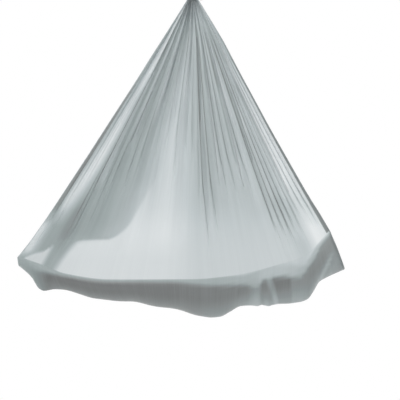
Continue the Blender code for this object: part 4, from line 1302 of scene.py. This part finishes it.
class Workshop:
    """The hand tools that the metal pieces are made with: each works on one piece at a time."""

    end_chamfer = 0.12
    bend_steps = 30
    bar_sides = 28

    @staticmethod
    def added(name: str, primitive: Callable[..., Any], **sizes: Any) -> Piece:
        """A new primitive at the origin, under its own name."""
        primitive(location=ORIGIN, **sizes)
        piece = bpy.context.object
        piece.name = piece.data.name = name
        return piece

    @staticmethod
    def select_only(piece: Piece) -> None:
        """Makes a piece the only one selected, and the active one."""
        bpy.ops.object.select_all(action="DESELECT")
        piece.select_set(True)
        bpy.context.view_layer.objects.active = piece

    @classmethod
    def open(cls, piece: Piece) -> None:
        """Opens a piece for editing with all of it selected."""
        cls.select_only(piece)
        bpy.ops.object.mode_set(mode="EDIT")
        bpy.ops.mesh.select_mode(type="VERT")
        cls.select_all()

    @staticmethod
    def select_all() -> None:
        """Selects all of the piece that is open."""
        bpy.ops.mesh.select_all(action="SELECT")

    @staticmethod
    def close() -> None:
        """Goes back to object mode."""
        bpy.ops.object.mode_set(mode="OBJECT")

    @staticmethod
    def pick(piece: Piece, wanted: Callable[[Vector], bool], kind: str = "VERT") -> None:
        """Selects the points, or the edges between points, that a test wants by their place.

        Args:
            piece: The piece, open for editing.
            wanted: The test, given a point.
            kind: VERT or EDGE.
        """
        bpy.ops.mesh.select_mode(type=kind)
        bpy.ops.mesh.select_all(action="DESELECT")
        bpy.ops.object.mode_set(mode="OBJECT")
        points = piece.data.vertices
        if kind == "VERT":
            for point in points:
                point.select = wanted(point.co)
        else:
            for edge in piece.data.edges:
                edge.select = all(wanted(points[index].co) for index in edge.vertices)
        bpy.ops.object.mode_set(mode="EDIT")

    @classmethod
    def pulled(cls, name: str, profile: Sequence[Pair]) -> Piece:
        """A line of edges through a (radius, height) profile, open for editing."""
        piece = cls.added(name, bpy.ops.mesh.primitive_plane_add, size=MM)
        cls.open(piece)
        bpy.ops.mesh.merge(type="CENTER")
        bpy.ops.transform.translate(value=(profile[0][0], 0.0, profile[0][1]))
        for before, after in zip(profile, profile[1:]):
            cls.pull((after[0] - before[0], 0.0, after[1] - before[1]))
        cls.select_all()
        return piece

    @staticmethod
    def pull(step: Sequence[float]) -> None:
        """Extrudes what is selected by a step."""
        bpy.ops.mesh.extrude_region_move(TRANSFORM_OT_translate={"value": step})

    @classmethod
    def lathe(cls, name: str, profile: Sequence[Pair], sides: int) -> Piece:
        """Turns a (radius, height) profile about Z, into a closed piece with so many sides."""
        piece = cls.pulled(name, profile)
        bpy.ops.mesh.spin(steps=sides, angle=2 * math.pi, center=ORIGIN, axis=(0.0, 0.0, 1.0))
        cls.seal()
        return piece

    @classmethod
    def seal(cls) -> None:
        """Merges doubles, turns the faces outwards and ends editing."""
        cls.select_all()
        bpy.ops.mesh.remove_doubles(threshold=2e-6)
        bpy.ops.mesh.dissolve_degenerate(threshold=1e-6)
        cls.select_all()
        bpy.ops.mesh.normals_make_consistent(inside=False)
        cls.close()

    @classmethod
    def bar(cls, name: str, radius: float, start: Colour, steps: Sequence[Any]) -> Piece:
        """A round bar along runs and bends, with a chamfer at each end.

        Args:
            name: The piece's name.
            radius: The bar's radius.
            start: The middle of its first end.
            steps: Its runs, as vectors, and its half turns, as pairs of centre and axis; the
                first and the last step are runs along Z.

        Returns:
            The closed bar.
        """
        chamfer = cls.end_chamfer * radius
        inner, sides = radius - chamfer, cls.bar_sides
        piece = cls.added(name, bpy.ops.mesh.primitive_circle_add, vertices=sides, radius=inner)
        cls.open(piece)
        bpy.ops.transform.translate(value=start)
        cls.pull((0.0, 0.0, math.copysign(chamfer, steps[0][2])))
        grow = radius / inner
        cls.scale(grow, grow, 1.0, about=cls.middle_of_picked(piece))
        for step in steps:
            if len(step) == 3:
                cls.pull(step)
            else:
                # With no window a spin turns the other way.
                centre, axis = step
                bpy.ops.mesh.spin(steps=cls.bend_steps, angle=-math.pi, center=centre, axis=axis)
        cls.pull((0.0, 0.0, math.copysign(chamfer, steps[-1][2])))
        cls.scale(1 / grow, 1 / grow, 1.0, about=cls.middle_of_picked(piece))
        cls.select_all()
        bpy.ops.mesh.fill_holes(sides=0)
        cls.seal()
        return piece

    @staticmethod
    def scale(*size: float, about: Sequence[float] = ORIGIN) -> None:
        """Scales what is selected about a place."""
        bpy.ops.transform.resize(value=size, center_override=about)

    @staticmethod
    def middle_of_picked(piece: Piece) -> Vector:
        """The middle of the points that are selected."""
        bpy.ops.object.mode_set(mode="OBJECT")
        picked = [item.co.copy() for item in piece.data.vertices if item.select]
        bpy.ops.object.mode_set(mode="EDIT")
        return sum(picked, Vector()) / len(picked)

    @classmethod
    def flute(cls, piece: Piece, count: int, width: float, within: Any, size: Colour) -> None:
        """Presses or lifts even flutes round Z.

        Args:
            piece: The piece.
            count: How many flutes it gets.
            width: Half of a flute's width, as a share of its pitch.
            within: The test for the points that flutes may move.
            size: How the points of the flutes are scaled.
        """

        def in_flute(point: Vector) -> bool:
            """Whether a point lies in a flute."""
            turn = math.atan2(point.y, point.x) / (2 * math.pi) * count
            return abs(turn - round(turn)) < width and within(point)

        cls.open(piece)
        cls.pick(piece, in_flute)
        cls.scale(*size)
        cls.close()

    @classmethod
    def pin(cls, name: str, radius: float, low: Colour, high: Colour, sides: int = 32) -> Piece:
        """A straight round pin between two points on a line along X, Y or Z."""
        line = Vector(high) - Vector(low)
        sizes = {"vertices": sides, "radius": radius, "depth": line.length}
        piece = cls.added(name, bpy.ops.mesh.primitive_cylinder_add, **sizes)
        piece.data.transform(line.to_track_quat("Z", "Y").to_matrix().to_4x4())
        piece.data.transform(Matrix.Translation((Vector(high) + Vector(low)) / 2))
        return piece

    @classmethod
    def modify(cls, piece: Piece, kind: str, settings: dict[str, Any]) -> None:
        """Puts a modifier on a piece and applies it."""
        cls.select_only(piece)
        change = piece.modifiers.new(kind.lower(), kind)
        for key, value in settings.items():
            setattr(change, key, value)
        bpy.ops.object.modifier_apply(modifier=change.name)

    @classmethod
    def cut(cls, piece: Piece, tool: Piece, operation: str = "DIFFERENCE") -> None:
        """Applies a Boolean with a tool, and throws the tool away."""
        cls.modify(piece, "BOOLEAN", {"operation": operation, "object": tool})
        bpy.data.objects.remove(tool, do_unlink=True)

    @classmethod
    def smoothed(cls, piece: Piece, degrees: float = 35.0) -> Piece:
        """Shades a piece smooth, apart from its sharp edges."""
        cls.select_only(piece)
        bpy.ops.object.shade_smooth_by_angle(angle=math.radians(degrees))
        return piece


@dataclass
class MetalWork(Workshop):
    """A sub-assembly of metal pieces, each made once as a master and copied to its places."""

    metals: dict[str, Material]
    running_gap: float = 0.4 * MM

    @cached_property
    def masters(self) -> dict[str, Piece]:
        """One of each of its pieces, by name."""
        return {}

    def put(self, kind: str, node: str, at: Matrix, body: str, metal: str) -> None:
        """Puts a copy of a master where its node stands.

        Args:
            kind: The master's name.
            node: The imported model's node.
            at: The copy's place.
            body: The body that it rides on.
            metal: Its finish's slot.
        """
        mesh = self.masters[kind].data.copy()
        mesh.name = f"{node}_made"
        mesh.transform(at)
        mesh.materials.clear()
        mesh.materials.append(self.metals[metal])
        dress(linked(mesh.name, mesh), node, body)

    def clear_masters(self) -> None:
        """Throws the masters away once their copies stand."""
        for master in self.masters.values():
            bpy.data.objects.remove(master, do_unlink=True)


@dataclass(frozen=True)
class BareMetal:
    """A bare or plated metal, with fine drawing marks, rubbed bright and handled dull."""

    name: str
    light: Colour
    dark: Colour
    roughness: float
    marks: float = 900.0
    mottle: float = 60.0
    grain: float = 0.02 * MM

    def material(self) -> Material:
        """The metal's material, on Object coordinates."""
        bench = NodeBench(self.name)
        place = bench.coordinates()
        fine = bench.noise(place, self.marks, 3.0)
        broad = bench.noise(place, self.mottle, 4.0)
        scratches = bench.noise(bench.scaled(place, 1.0, 1.0, 0.06), self.marks * 1.6, 1.0)
        shade = (broad * 0.6 + fine * 0.4 + (scratches - 0.5) * 0.35).clamped()
        return bench.finish(bench.principled({
            "Base Color": bench.ramp(shade, (0.25, self.dark), (0.62, self.light)),
            "Metallic": 1.0,
            "Roughness": (broad - 0.5) * 0.22 + (fine - 0.5) * 0.10 + self.roughness,
            "Normal": bench.bump(scratches * 0.6 + fine * 0.4, 0.35, self.grain),
        }))


@dataclass(frozen=True)
class PowderCoat:
    """Satin black powder coat: an even orange peel, with a little dust and rubbing."""

    name: str = "plate_powder_coat"
    light: Colour = (0.048, 0.048, 0.050)
    dark: Colour = (0.022, 0.022, 0.024)
    roughness: float = 0.44
    peel: float = 1500.0

    def material(self) -> Material:
        """The coat's material, on Object coordinates."""
        bench = NodeBench(self.name)
        place = bench.coordinates()
        peel = bench.noise(place, self.peel, 1.0)
        dust = bench.noise(place, 45.0, 5.0)
        return bench.finish(bench.principled({
            "Base Color": bench.ramp(dust * 0.7 + peel * 0.3, (0.35, self.dark), (0.7, self.light)),
            "Roughness": (dust - 0.5) * 0.16 + self.roughness,
            "Specular IOR Level": 0.5,
            "Normal": bench.bump(peel, 0.35, 0.06 * MM),
        }))


@dataclass
class ScrewLockCarabiner(MetalWork):
    """An oval carabiner: bent rod, slotted gate on its rivet, and knurled lock sleeve.

    Its masters stand in XZ with the gate's side towards -X, and are turned over about Y.
    """

    straight: float = 46.0 * MM
    hinge_z: float = -16.0 * MM
    gate_top: float = 19.4 * MM
    tang_thickness: float = 4.0 * MM
    tang_width: float = 9.0 * MM
    key_length: float = 5.5 * MM
    key_edge: float = 0.4 * MM
    slot_gap: float = 0.4 * MM
    rivet_radius: float = 1.5 * MM
    rivet_head_radius: float = 2.4 * MM
    rivet_head_height: float = 0.9 * MM
    sleeve_wall: float = 2.2 * MM
    sleeve_length: float = 21.5 * MM
    sleeve_offset: float = 7.2 * MM
    collar: float = 2.6 * MM
    groove: float = 0.7 * MM
    lead_in: float = 0.3 * MM
    flutes: int = 30
    flute_depth: float = 0.42 * MM
    thread_height: float = 0.22 * MM
    thread_pitch: float = 1.0 * MM

    @cached_property
    def masters(self) -> dict[str, Piece]:
        """One of each of the four pieces."""
        bar, gate, rivet, sleeve = self.body(), self.gate(), self.rivet(), self.sleeve()
        return {"carabiner": bar, "gate": gate, "gate_rivet": rivet, "lock_sleeve": sleeve}

    def body(self) -> Piece:
        """The bent rod, with its threaded nose and key, and the tang that carries the rivet."""
        middle, bow = self.straight / 2, BOW_RADIUS
        nose_z = self.gate_top + self.slot_gap
        shoulder_z = self.hinge_z - ROD_RADIUS - self.slot_gap
        chamfer = self.end_chamfer * ROD_RADIUS
        rod = self.bar("carabiner_master", ROD_RADIUS, (-bow, 0.0, nose_z), (
            (0.0, 0.0, middle - nose_z - chamfer),
            ((0.0, 0.0, middle), (0.0, 1.0, 0.0)),
            (0.0, 0.0, -self.straight),
            ((0.0, 0.0, -middle), (0.0, 1.0, 0.0)),
            (0.0, 0.0, middle + shoulder_z - chamfer),
        ))
        half, reach = self.tang_thickness / 2, self.tang_width / 2
        low, high = nose_z - self.key_length, nose_z + self.tang_thickness
        key = self.block("nose_key", reach, half, low, high)
        self.modify(key, "BEVEL", {
            "width": self.key_edge, "segments": 2, "limit_method": "ANGLE",
            "angle_limit": math.radians(40),
        })
        hinge = self.hinge_z
        tang = self.block("tang", reach, half, shoulder_z - self.tang_thickness, hinge)
        knuckle = self.pin("knuckle", reach, (-bow, -half, hinge), (-bow, half, hinge))
        for part in (key, tang, knuckle):
            self.cut(rod, part, "UNION")
        self.cut(rod, self.rivet_hole(self.tang_thickness))
        return self.smoothed(rod)

    def block(self, name: str, reach: float, half: float, low: float, high: float) -> Piece:
        """A box on the gate's side between two heights, as a cutter or a tang."""
        piece = self.added(name, bpy.ops.mesh.primitive_cube_add, size=1.0)
        self.open(piece)
        self.scale(2 * reach, 2 * half, high - low)
        bpy.ops.transform.translate(value=(-BOW_RADIUS, 0.0, (high + low) / 2))
        self.close()
        return piece

    def rivet_hole(self, depth: float) -> Piece:
        """The cutter for the rivet's hole."""
        radius, x, z = self.rivet_radius + self.running_gap, -BOW_RADIUS, self.hinge_z
        return self.pin("rivet_hole", radius, (x, -depth, z), (x, depth, z), 24)

    def gate(self) -> Piece:
        """The gate: a domed foot on the rivet, a plain bar and a thread up to its slotted top."""
        radius, hinge_z, top = ROD_RADIUS, self.hinge_z, self.gate_top
        angles = [math.radians(9 * step) for step in range(11)]
        profile = [(radius * math.sin(turn), hinge_z - radius * math.cos(turn)) for turn in angles]
        z = hinge_z + self.sleeve_offset + 0.35 * self.sleeve_length
        while z + self.thread_pitch < top - self.slot_gap:
            crest = radius + self.thread_height
            profile += [(radius, z), (crest, z + 0.35 * self.thread_pitch)]
            profile.append((crest, z + 0.5 * self.thread_pitch))
            z += self.thread_pitch
        edge = 0.5 * MM
        profile += [(radius, z), (radius, top - edge), (radius - edge, top), (0.0, top)]
        gate = self.lathe("gate_master", profile, 36)
        gate.data.transform(Matrix.Translation((-BOW_RADIUS, 0.0, 0.0)))
        half = self.tang_thickness / 2 + self.slot_gap
        reach = 2 * radius
        slots = {
            "low_slot": (hinge_z - reach, hinge_z + self.tang_width / 2 + self.slot_gap),
            "nose_slot": (top - self.key_length - self.slot_gap, top + reach),
        }
        for name, (low, high) in slots.items():
            self.cut(gate, self.block(name, reach, half, low, high))
        self.cut(gate, self.rivet_hole(radius + SEAT))
        return self.smoothed(gate)

    def rivet(self) -> Piece:
        """The gate's rivet, peened to a dome at both ends."""
        seat = ROD_RADIUS + SEAT
        upper = [(self.rivet_radius, seat)]
        for angle in (0, 18, 36, 54, 72):
            turn = math.radians(angle)
            height = seat + self.rivet_head_height * math.sin(turn)
            upper.append((self.rivet_head_radius * math.cos(turn), height))
        upper.append((0.0, seat + self.rivet_head_height))
        profile = [(radius, -height) for radius, height in reversed(upper)] + upper
        rivet = self.lathe("rivet_master", profile, 28)
        rivet.data.transform(Matrix.Rotation(math.radians(90), 4, "X"))
        rivet.data.transform(Matrix.Translation((-BOW_RADIUS, 0.0, self.hinge_z)))
        return self.smoothed(rivet)

    def sleeve(self) -> Piece:
        """The lock sleeve: a knurled grip between two plain collars, with grooves beside them."""
        inner = ROD_RADIUS + self.running_gap
        outer = inner + self.sleeve_wall
        low = self.hinge_z + self.sleeve_offset
        high = low + self.sleeve_length
        collar, groove, lead_in, crown = self.collar, self.groove, self.lead_in, outer - 0.1 * MM
        half = [
            (inner, lead_in), (inner + lead_in, 0.0), (outer - groove, 0.0), (outer, groove),
            (outer, collar), (outer - groove, collar + groove),
            (outer - groove, collar + 1.6 * groove), (crown, collar + 2.4 * groove),
        ]
        profile = [(radius, low + up) for radius, up in half]
        profile += [(radius, high - up) for radius, up in reversed(half)]
        sleeve = self.lathe("sleeve_master", profile + profile[:1], 4 * self.flutes)
        low, high = low + collar + 2 * groove, high - collar - 2 * groove
        press = 1 - self.flute_depth / outer
        self.flute(
            sleeve, self.flutes, 0.2,
            lambda at: low < at.z < high and math.hypot(at.x, at.y) > outer - MM, (press, press, 1.0),
        )
        sleeve.data.transform(Matrix.Translation((-BOW_RADIUS, 0.0, 0.0)))
        return self.smoothed(sleeve, 28.0)

    def place(self, side: Side, level: Level) -> None:
        """Puts a carabiner where its nodes stand, each piece on its own body."""
        end = f"{side.value}_{level.value}"
        low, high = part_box(f"carabiner_{end}")
        middle = (Vector(low) + Vector(high)) / 2
        at = Matrix.Translation((0.0, middle.y, middle.z)) @ Matrix.Rotation(math.pi, 4, "Y")
        for kind, body, steel in (
            ("carabiner", "sling", "carabiner_steel"),
            ("gate", f"{end}_gate", "carabiner_steel"),
            ("gate_rivet", "sling", "carabiner_steel"),
            ("lock_sleeve", f"{end}_sleeve", "sleeve_steel"),
        ):
            self.put(kind, f"{kind}_{end}", at, body, steel)


@dataclass
class CeilingMount(MetalWork):
    """A ceiling plate with its welded eye, and the bolts and washers that hold it."""

    plate_side: float = 90.0 * MM
    thickness: float = 5.0 * MM
    corner_radius: float = 14.0 * MM
    edge_round: float = 0.8 * MM
    eye_rod: float = 5.0 * MM
    eye_radius: float = 18.0 * MM
    eye_leg: float = 16.0 * MM
    bead_radius: float = 1.9 * MM
    bead_reach: float = 0.7 * MM
    bead_ripples: int = 26
    bolt_spacing: float = 62.0 * MM
    bolt_radius: float = 4.0 * MM
    bolt_length: float = 50.0 * MM
    bolt_turn: float = 34.0
    head_width: float = 13.0 * MM
    head_height: float = 5.3 * MM
    thread_pitch: float = 1.25 * MM
    thread_depth: float = 0.65 * MM
    plain_shank: float = 11.0 * MM
    washer_radius: float = 8.0 * MM
    washer_thickness: float = 1.6 * MM

    @cached_property
    def masters(self) -> dict[str, Piece]:
        """One plate, one bolt and one washer."""
        return {"plate": self.plate(), "bolt": self.bolt(), "washer": self.washer()}

    def bolt_places(self) -> list[Pair]:
        """Where the bolts stand about a plate's middle, in the order of their numbers."""
        half = self.bolt_spacing / 2
        return [(-half, -half), (half, -half), (half, half), (-half, half)]

    def plate(self) -> Piece:
        """The plate with round corners, four holes, its eye and the two weld beads."""
        plate = self.added("plate_master", bpy.ops.mesh.primitive_plane_add, size=self.plate_side)
        self.open(plate)
        bpy.ops.mesh.bevel(offset=self.corner_radius, segments=10, affect="VERTICES")
        self.select_all()
        self.pull((0.0, 0.0, -self.thickness))
        self.seal()
        self.open(plate)
        self.pick(plate, lambda point: point.z < -0.5 * self.thickness, "EDGE")
        bpy.ops.mesh.bevel(offset=self.edge_round, segments=3, affect="EDGES")
        self.close()
        radius, low = self.bolt_radius + self.running_gap, -2 * self.thickness
        for x, y in self.bolt_places():
            self.cut(plate, self.pin("bolt_hole", radius, (x, y, low), (x, y, self.thickness), 40))
        centre_z = -(self.thickness + self.eye_leg)
        start_z = -0.5 * self.thickness
        leg = centre_z - start_z + self.end_chamfer * self.eye_rod
        bend = ((0.0, 0.0, centre_z), (1.0, 0.0, 0.0))
        start = (0.0, -self.eye_radius, start_z)
        eye = self.bar("eye", self.eye_rod, start, ((0.0, 0.0, leg), bend, (0.0, 0.0, -leg)))
        self.cut(plate, eye, "UNION")
        for side in (-1, 1):
            self.cut(plate, self.weld_bead(side * self.eye_radius), "UNION")
        return self.smoothed(plate)

    def weld_bead(self, y: float) -> Piece:
        """The rippled bead round one leg of the eye, under the plate."""
        bead = self.added(
            "weld_bead", bpy.ops.mesh.primitive_torus_add,
            major_radius=self.eye_rod + self.bead_reach, minor_radius=self.bead_radius,
            major_segments=3 * self.bead_ripples, minor_segments=12,
        )
        self.flute(
            bead, self.bead_ripples, 0.17,
            lambda point: math.hypot(point.x, point.y) > self.eye_rod, (0.965, 0.965, 0.86),
        )
        bead.data.transform(Matrix.Translation((0.0, y, -self.thickness - 0.2 * MM)))
        return bead

    def washer(self) -> Piece:
        """A stamped washer: one face rounded at its rim, the other with a slight burr edge."""
        inner, outer = self.bolt_radius + self.running_gap, self.washer_radius
        deep, edge, stamp, rim = self.washer_thickness, 0.35 * MM, 0.15 * MM, 0.12 * MM
        profile = (
            (inner, -stamp), (inner + stamp, 0.0), (outer - rim, 0.0), (outer, -rim),
            (outer, -deep + edge), (outer - 0.3 * edge, -deep + 0.3 * edge), (outer - edge, -deep),
            (inner + edge, -deep), (inner, -deep + edge), (inner, -stamp),
        )
        return self.smoothed(self.lathe("washer_master", profile, 48), 50.0)

    def bolt(self) -> Piece:
        """A hexagon bolt pointing up: chamfered head, plain shank, rolled thread and point."""
        corner, bottom = self.head_width / math.sqrt(3), -self.head_height
        head = self.pin("bolt_master", corner, (0.0, 0.0, bottom), ORIGIN, 6)
        cone = self.lathe("head_chamfer", (
            (0.0, bottom), (self.head_width / 2 - 0.2 * MM, bottom),
            (corner + 0.4 * MM, bottom + 1.1 * MM), (corner + 0.4 * MM, MM), (0.0, MM),
        ), 48)
        self.cut(head, cone, "INTERSECT")
        radius, root = self.bolt_radius, self.bolt_radius - self.thread_depth
        point = 0.5 * radius
        shank = self.lathe("shank", (
            (0.0, 0.5 * bottom), (radius, 0.5 * bottom), (radius, self.plain_shank),
            (root, self.plain_shank + self.thread_depth), (root, self.bolt_length - 0.5 * point),
            (radius - point, self.bolt_length), (0.0, self.bolt_length),
        ), 32)
        self.cut(head, shank, "UNION")
        thread = self.thread(root, self.bolt_length - point)
        self.smoothed(head)
        thread.select_set(True)
        bpy.ops.object.join()
        return head

    def thread(self, root: float, top: float) -> Piece:
        """The rolled thread: one ridge wound up the shank by a Screw modifier, and closed."""
        pitch = self.thread_pitch
        sunk, crest = root - 0.15 * MM, root + self.thread_depth - 0.05 * MM
        start = self.plain_shank + 0.5 * pitch
        ridge = (
            (sunk, start - 0.46 * pitch), (sunk, start + 0.46 * pitch),
            (crest, start + 0.06 * pitch), (crest, start - 0.06 * pitch),
        )
        thread = self.pulled("thread", ridge + ridge[:1])
        bpy.ops.mesh.remove_doubles(threshold=1e-7)
        self.close()
        turns = int((top - start) / pitch)
        self.modify(thread, "SCREW", {
            "axis": "Z", "angle": 2 * math.pi, "screw_offset": pitch, "iterations": turns,
            "steps": 24, "render_steps": 24, "use_merge_vertices": False,
        })
        self.open(thread)
        bpy.ops.mesh.fill_holes(sides=0)
        self.seal()
        return self.smoothed(thread, 30.0)

    def place(self, side: Side) -> None:
        """Puts one side's plate, bolts and washers where their nodes stand."""
        low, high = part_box(f"ceiling_plate_{side.value}")
        y = (low[1] + high[1]) / 2
        body = "ceiling_mounts"
        at = Matrix.Translation((0.0, y, 0.0))
        self.put("plate", f"ceiling_plate_{side.value}", at, body, "powder_black")
        washer_z = -self.thickness - SEAT
        head_z = washer_z - self.washer_thickness - SEAT
        for number, (x, across) in enumerate(self.bolt_places(), start=1):
            turn = math.radians(self.bolt_turn * number)
            for kind, z, angle in (("washer", washer_z, 0.0), ("bolt", head_z, turn)):
                at = Matrix.Translation((x, y + across, z)) @ Matrix.Rotation(angle, 4, "Z")
                self.put(kind, f"plate_{kind}_{side.value}_{number}", at, body, "zinc")


@dataclass
class Studio:
    """The pale floor, the soft light and the camera."""

    floor_drop: float = 0.45
    floor_half: float = 9.0
    camera_distance: float = 40.0
    view_width: float = 2.0
    aim_x: float = 0.035
    aim_z: float = -1.672
    sensor: float = 36.0
    world_light: float = 0.56

    def build(self, lowest: float) -> None:
        """Sets the studio up under an object whose lowest point is given."""
        self.floor(lowest - self.floor_drop)
        self.world()
        self.lamp("key", (-3.2, -4.6, 0.6), 3.0, 165.0)
        self.lamp("fill", (3.8, -3.6, -1.2), 3.0, 52.0)
        self.lamp("back", (-0.6, 5.0, -0.6), 3.5, 130.0)
        self.camera()
        bpy.context.scene.view_settings.view_transform = "Standard"

    def floor(self, z: float) -> None:
        """A pale floor that shows white at a distance and keeps the shadow near the object."""
        bench = NodeBench("studio_floor")
        lit = bench.principled({"Base Color": (0.9, 0.9, 0.9, 1.0), "Roughness": 0.9})
        glow = bench.add("ShaderNodeEmission", {}, {"Color": WHITE, "Strength": 1.0})[0]
        place = bench.add("ShaderNodeVectorMath", {"operation": "LENGTH"}, {0: bench.coordinates()})[1]
        far = ((place - 1.0) * 0.9).clamped()
        camera_ray = bench.add("ShaderNodeLightPath", {}, {})[0]
        material = bench.finish(bench.mixed(camera_ray * (far * 0.4 + 0.6), lit, glow))
        half = self.floor_half
        corners = [(-half, -half, z), (half, -half, z), (half, half, z), (-half, half, z)]
        meshed("studio_floor", corners, [(0, 1, 2, 3)], material)

    def world(self) -> None:
        """Even light from all round, white where the camera and reflections see it."""
        world = bpy.data.worlds.new("studio")
        bpy.context.scene.world = world
        bench = NodeBench("studio", world)
        rays = bench.add("ShaderNodeLightPath", {}, {})
        camera, glossy, transmission = rays[0], rays[3], rays[6]
        seen = camera.math("MAXIMUM", glossy.math("MAXIMUM", transmission))
        inputs = {"Color": WHITE, "Strength": seen * (1.0 - self.world_light) + self.world_light}
        bench.finish(bench.add("ShaderNodeBackground", {}, inputs)[0], "ShaderNodeOutputWorld")

    def lamp(self, name: str, place: Colour, size: float, power: float) -> None:
        """A square soft lamp turned towards the cloth."""
        light = bpy.data.lights.new(name, "AREA")
        light.shape = "SQUARE"
        light.size = size
        light.energy = power
        lamp = linked(name, light)
        lamp.location = place
        aim = Vector((self.aim_x, 0.0, self.aim_z)) - Vector(place)
        lamp.rotation_euler = aim.to_track_quat("-Z", "Y").to_euler()

    def camera(self) -> None:
        """A level camera straight in front, framed as the photograph is."""
        lens = bpy.data.cameras.new("camera")
        lens.sensor_width = self.sensor
        lens.lens = self.sensor * self.camera_distance / self.view_width
        lens.clip_end = 100.0
        camera = linked("camera", lens)
        camera.location = (self.aim_x, -self.camera_distance, self.aim_z)
        camera.rotation_euler = (math.radians(90), 0.0, 0.0)
        bpy.context.scene.camera = camera


def main() -> None:
    """Builds the studio and every sub-assembly."""
    Studio().build(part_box("hammock_cloth")[0][2])
    tricot, webbing = Tricot(), Webbing()
    tricot_material = tricot.material()
    webbing_material, thread_material = webbing.material(), webbing.thread_material()
    for side in Side:
        knot = NooseKnot(side).build(tricot_material)
        dress(knot, f"knot_{side.value}", "sling")
        strap = DaisyChain(side).build(webbing_material, thread_material)
        dress(strap, f"daisy_chain_{side.value}", "sling")
    steel = BareMetal("carabiner_steel_made", (0.54, 0.55, 0.57), (0.32, 0.33, 0.35), 0.27)
    sleeve_steel = BareMetal("sleeve_steel_made", (0.46, 0.47, 0.49), (0.22, 0.225, 0.235), 0.36)
    zinc = BareMetal("bright_zinc", (0.54, 0.55, 0.575), (0.36, 0.37, 0.40), 0.34, 500.0, 140.0)
    metals = {
        "carabiner_steel": steel.material(),
        "sleeve_steel": sleeve_steel.material(),
        "zinc": zinc.material(),
        "powder_black": PowderCoat().material(),
    }
    carabiner, mount = ScrewLockCarabiner(metals), CeilingMount(metals)
    for side in Side:
        mount.place(side)
        for level in Level:
            carabiner.place(side, level)
    carabiner.clear_masters()
    mount.clear_masters()
    cloth = HammockCloth(tricot)
    sheet = cloth.build(tricot_material)
    dress(sheet, cloth.node, "sling")


if __name__ == "__main__":
    main()
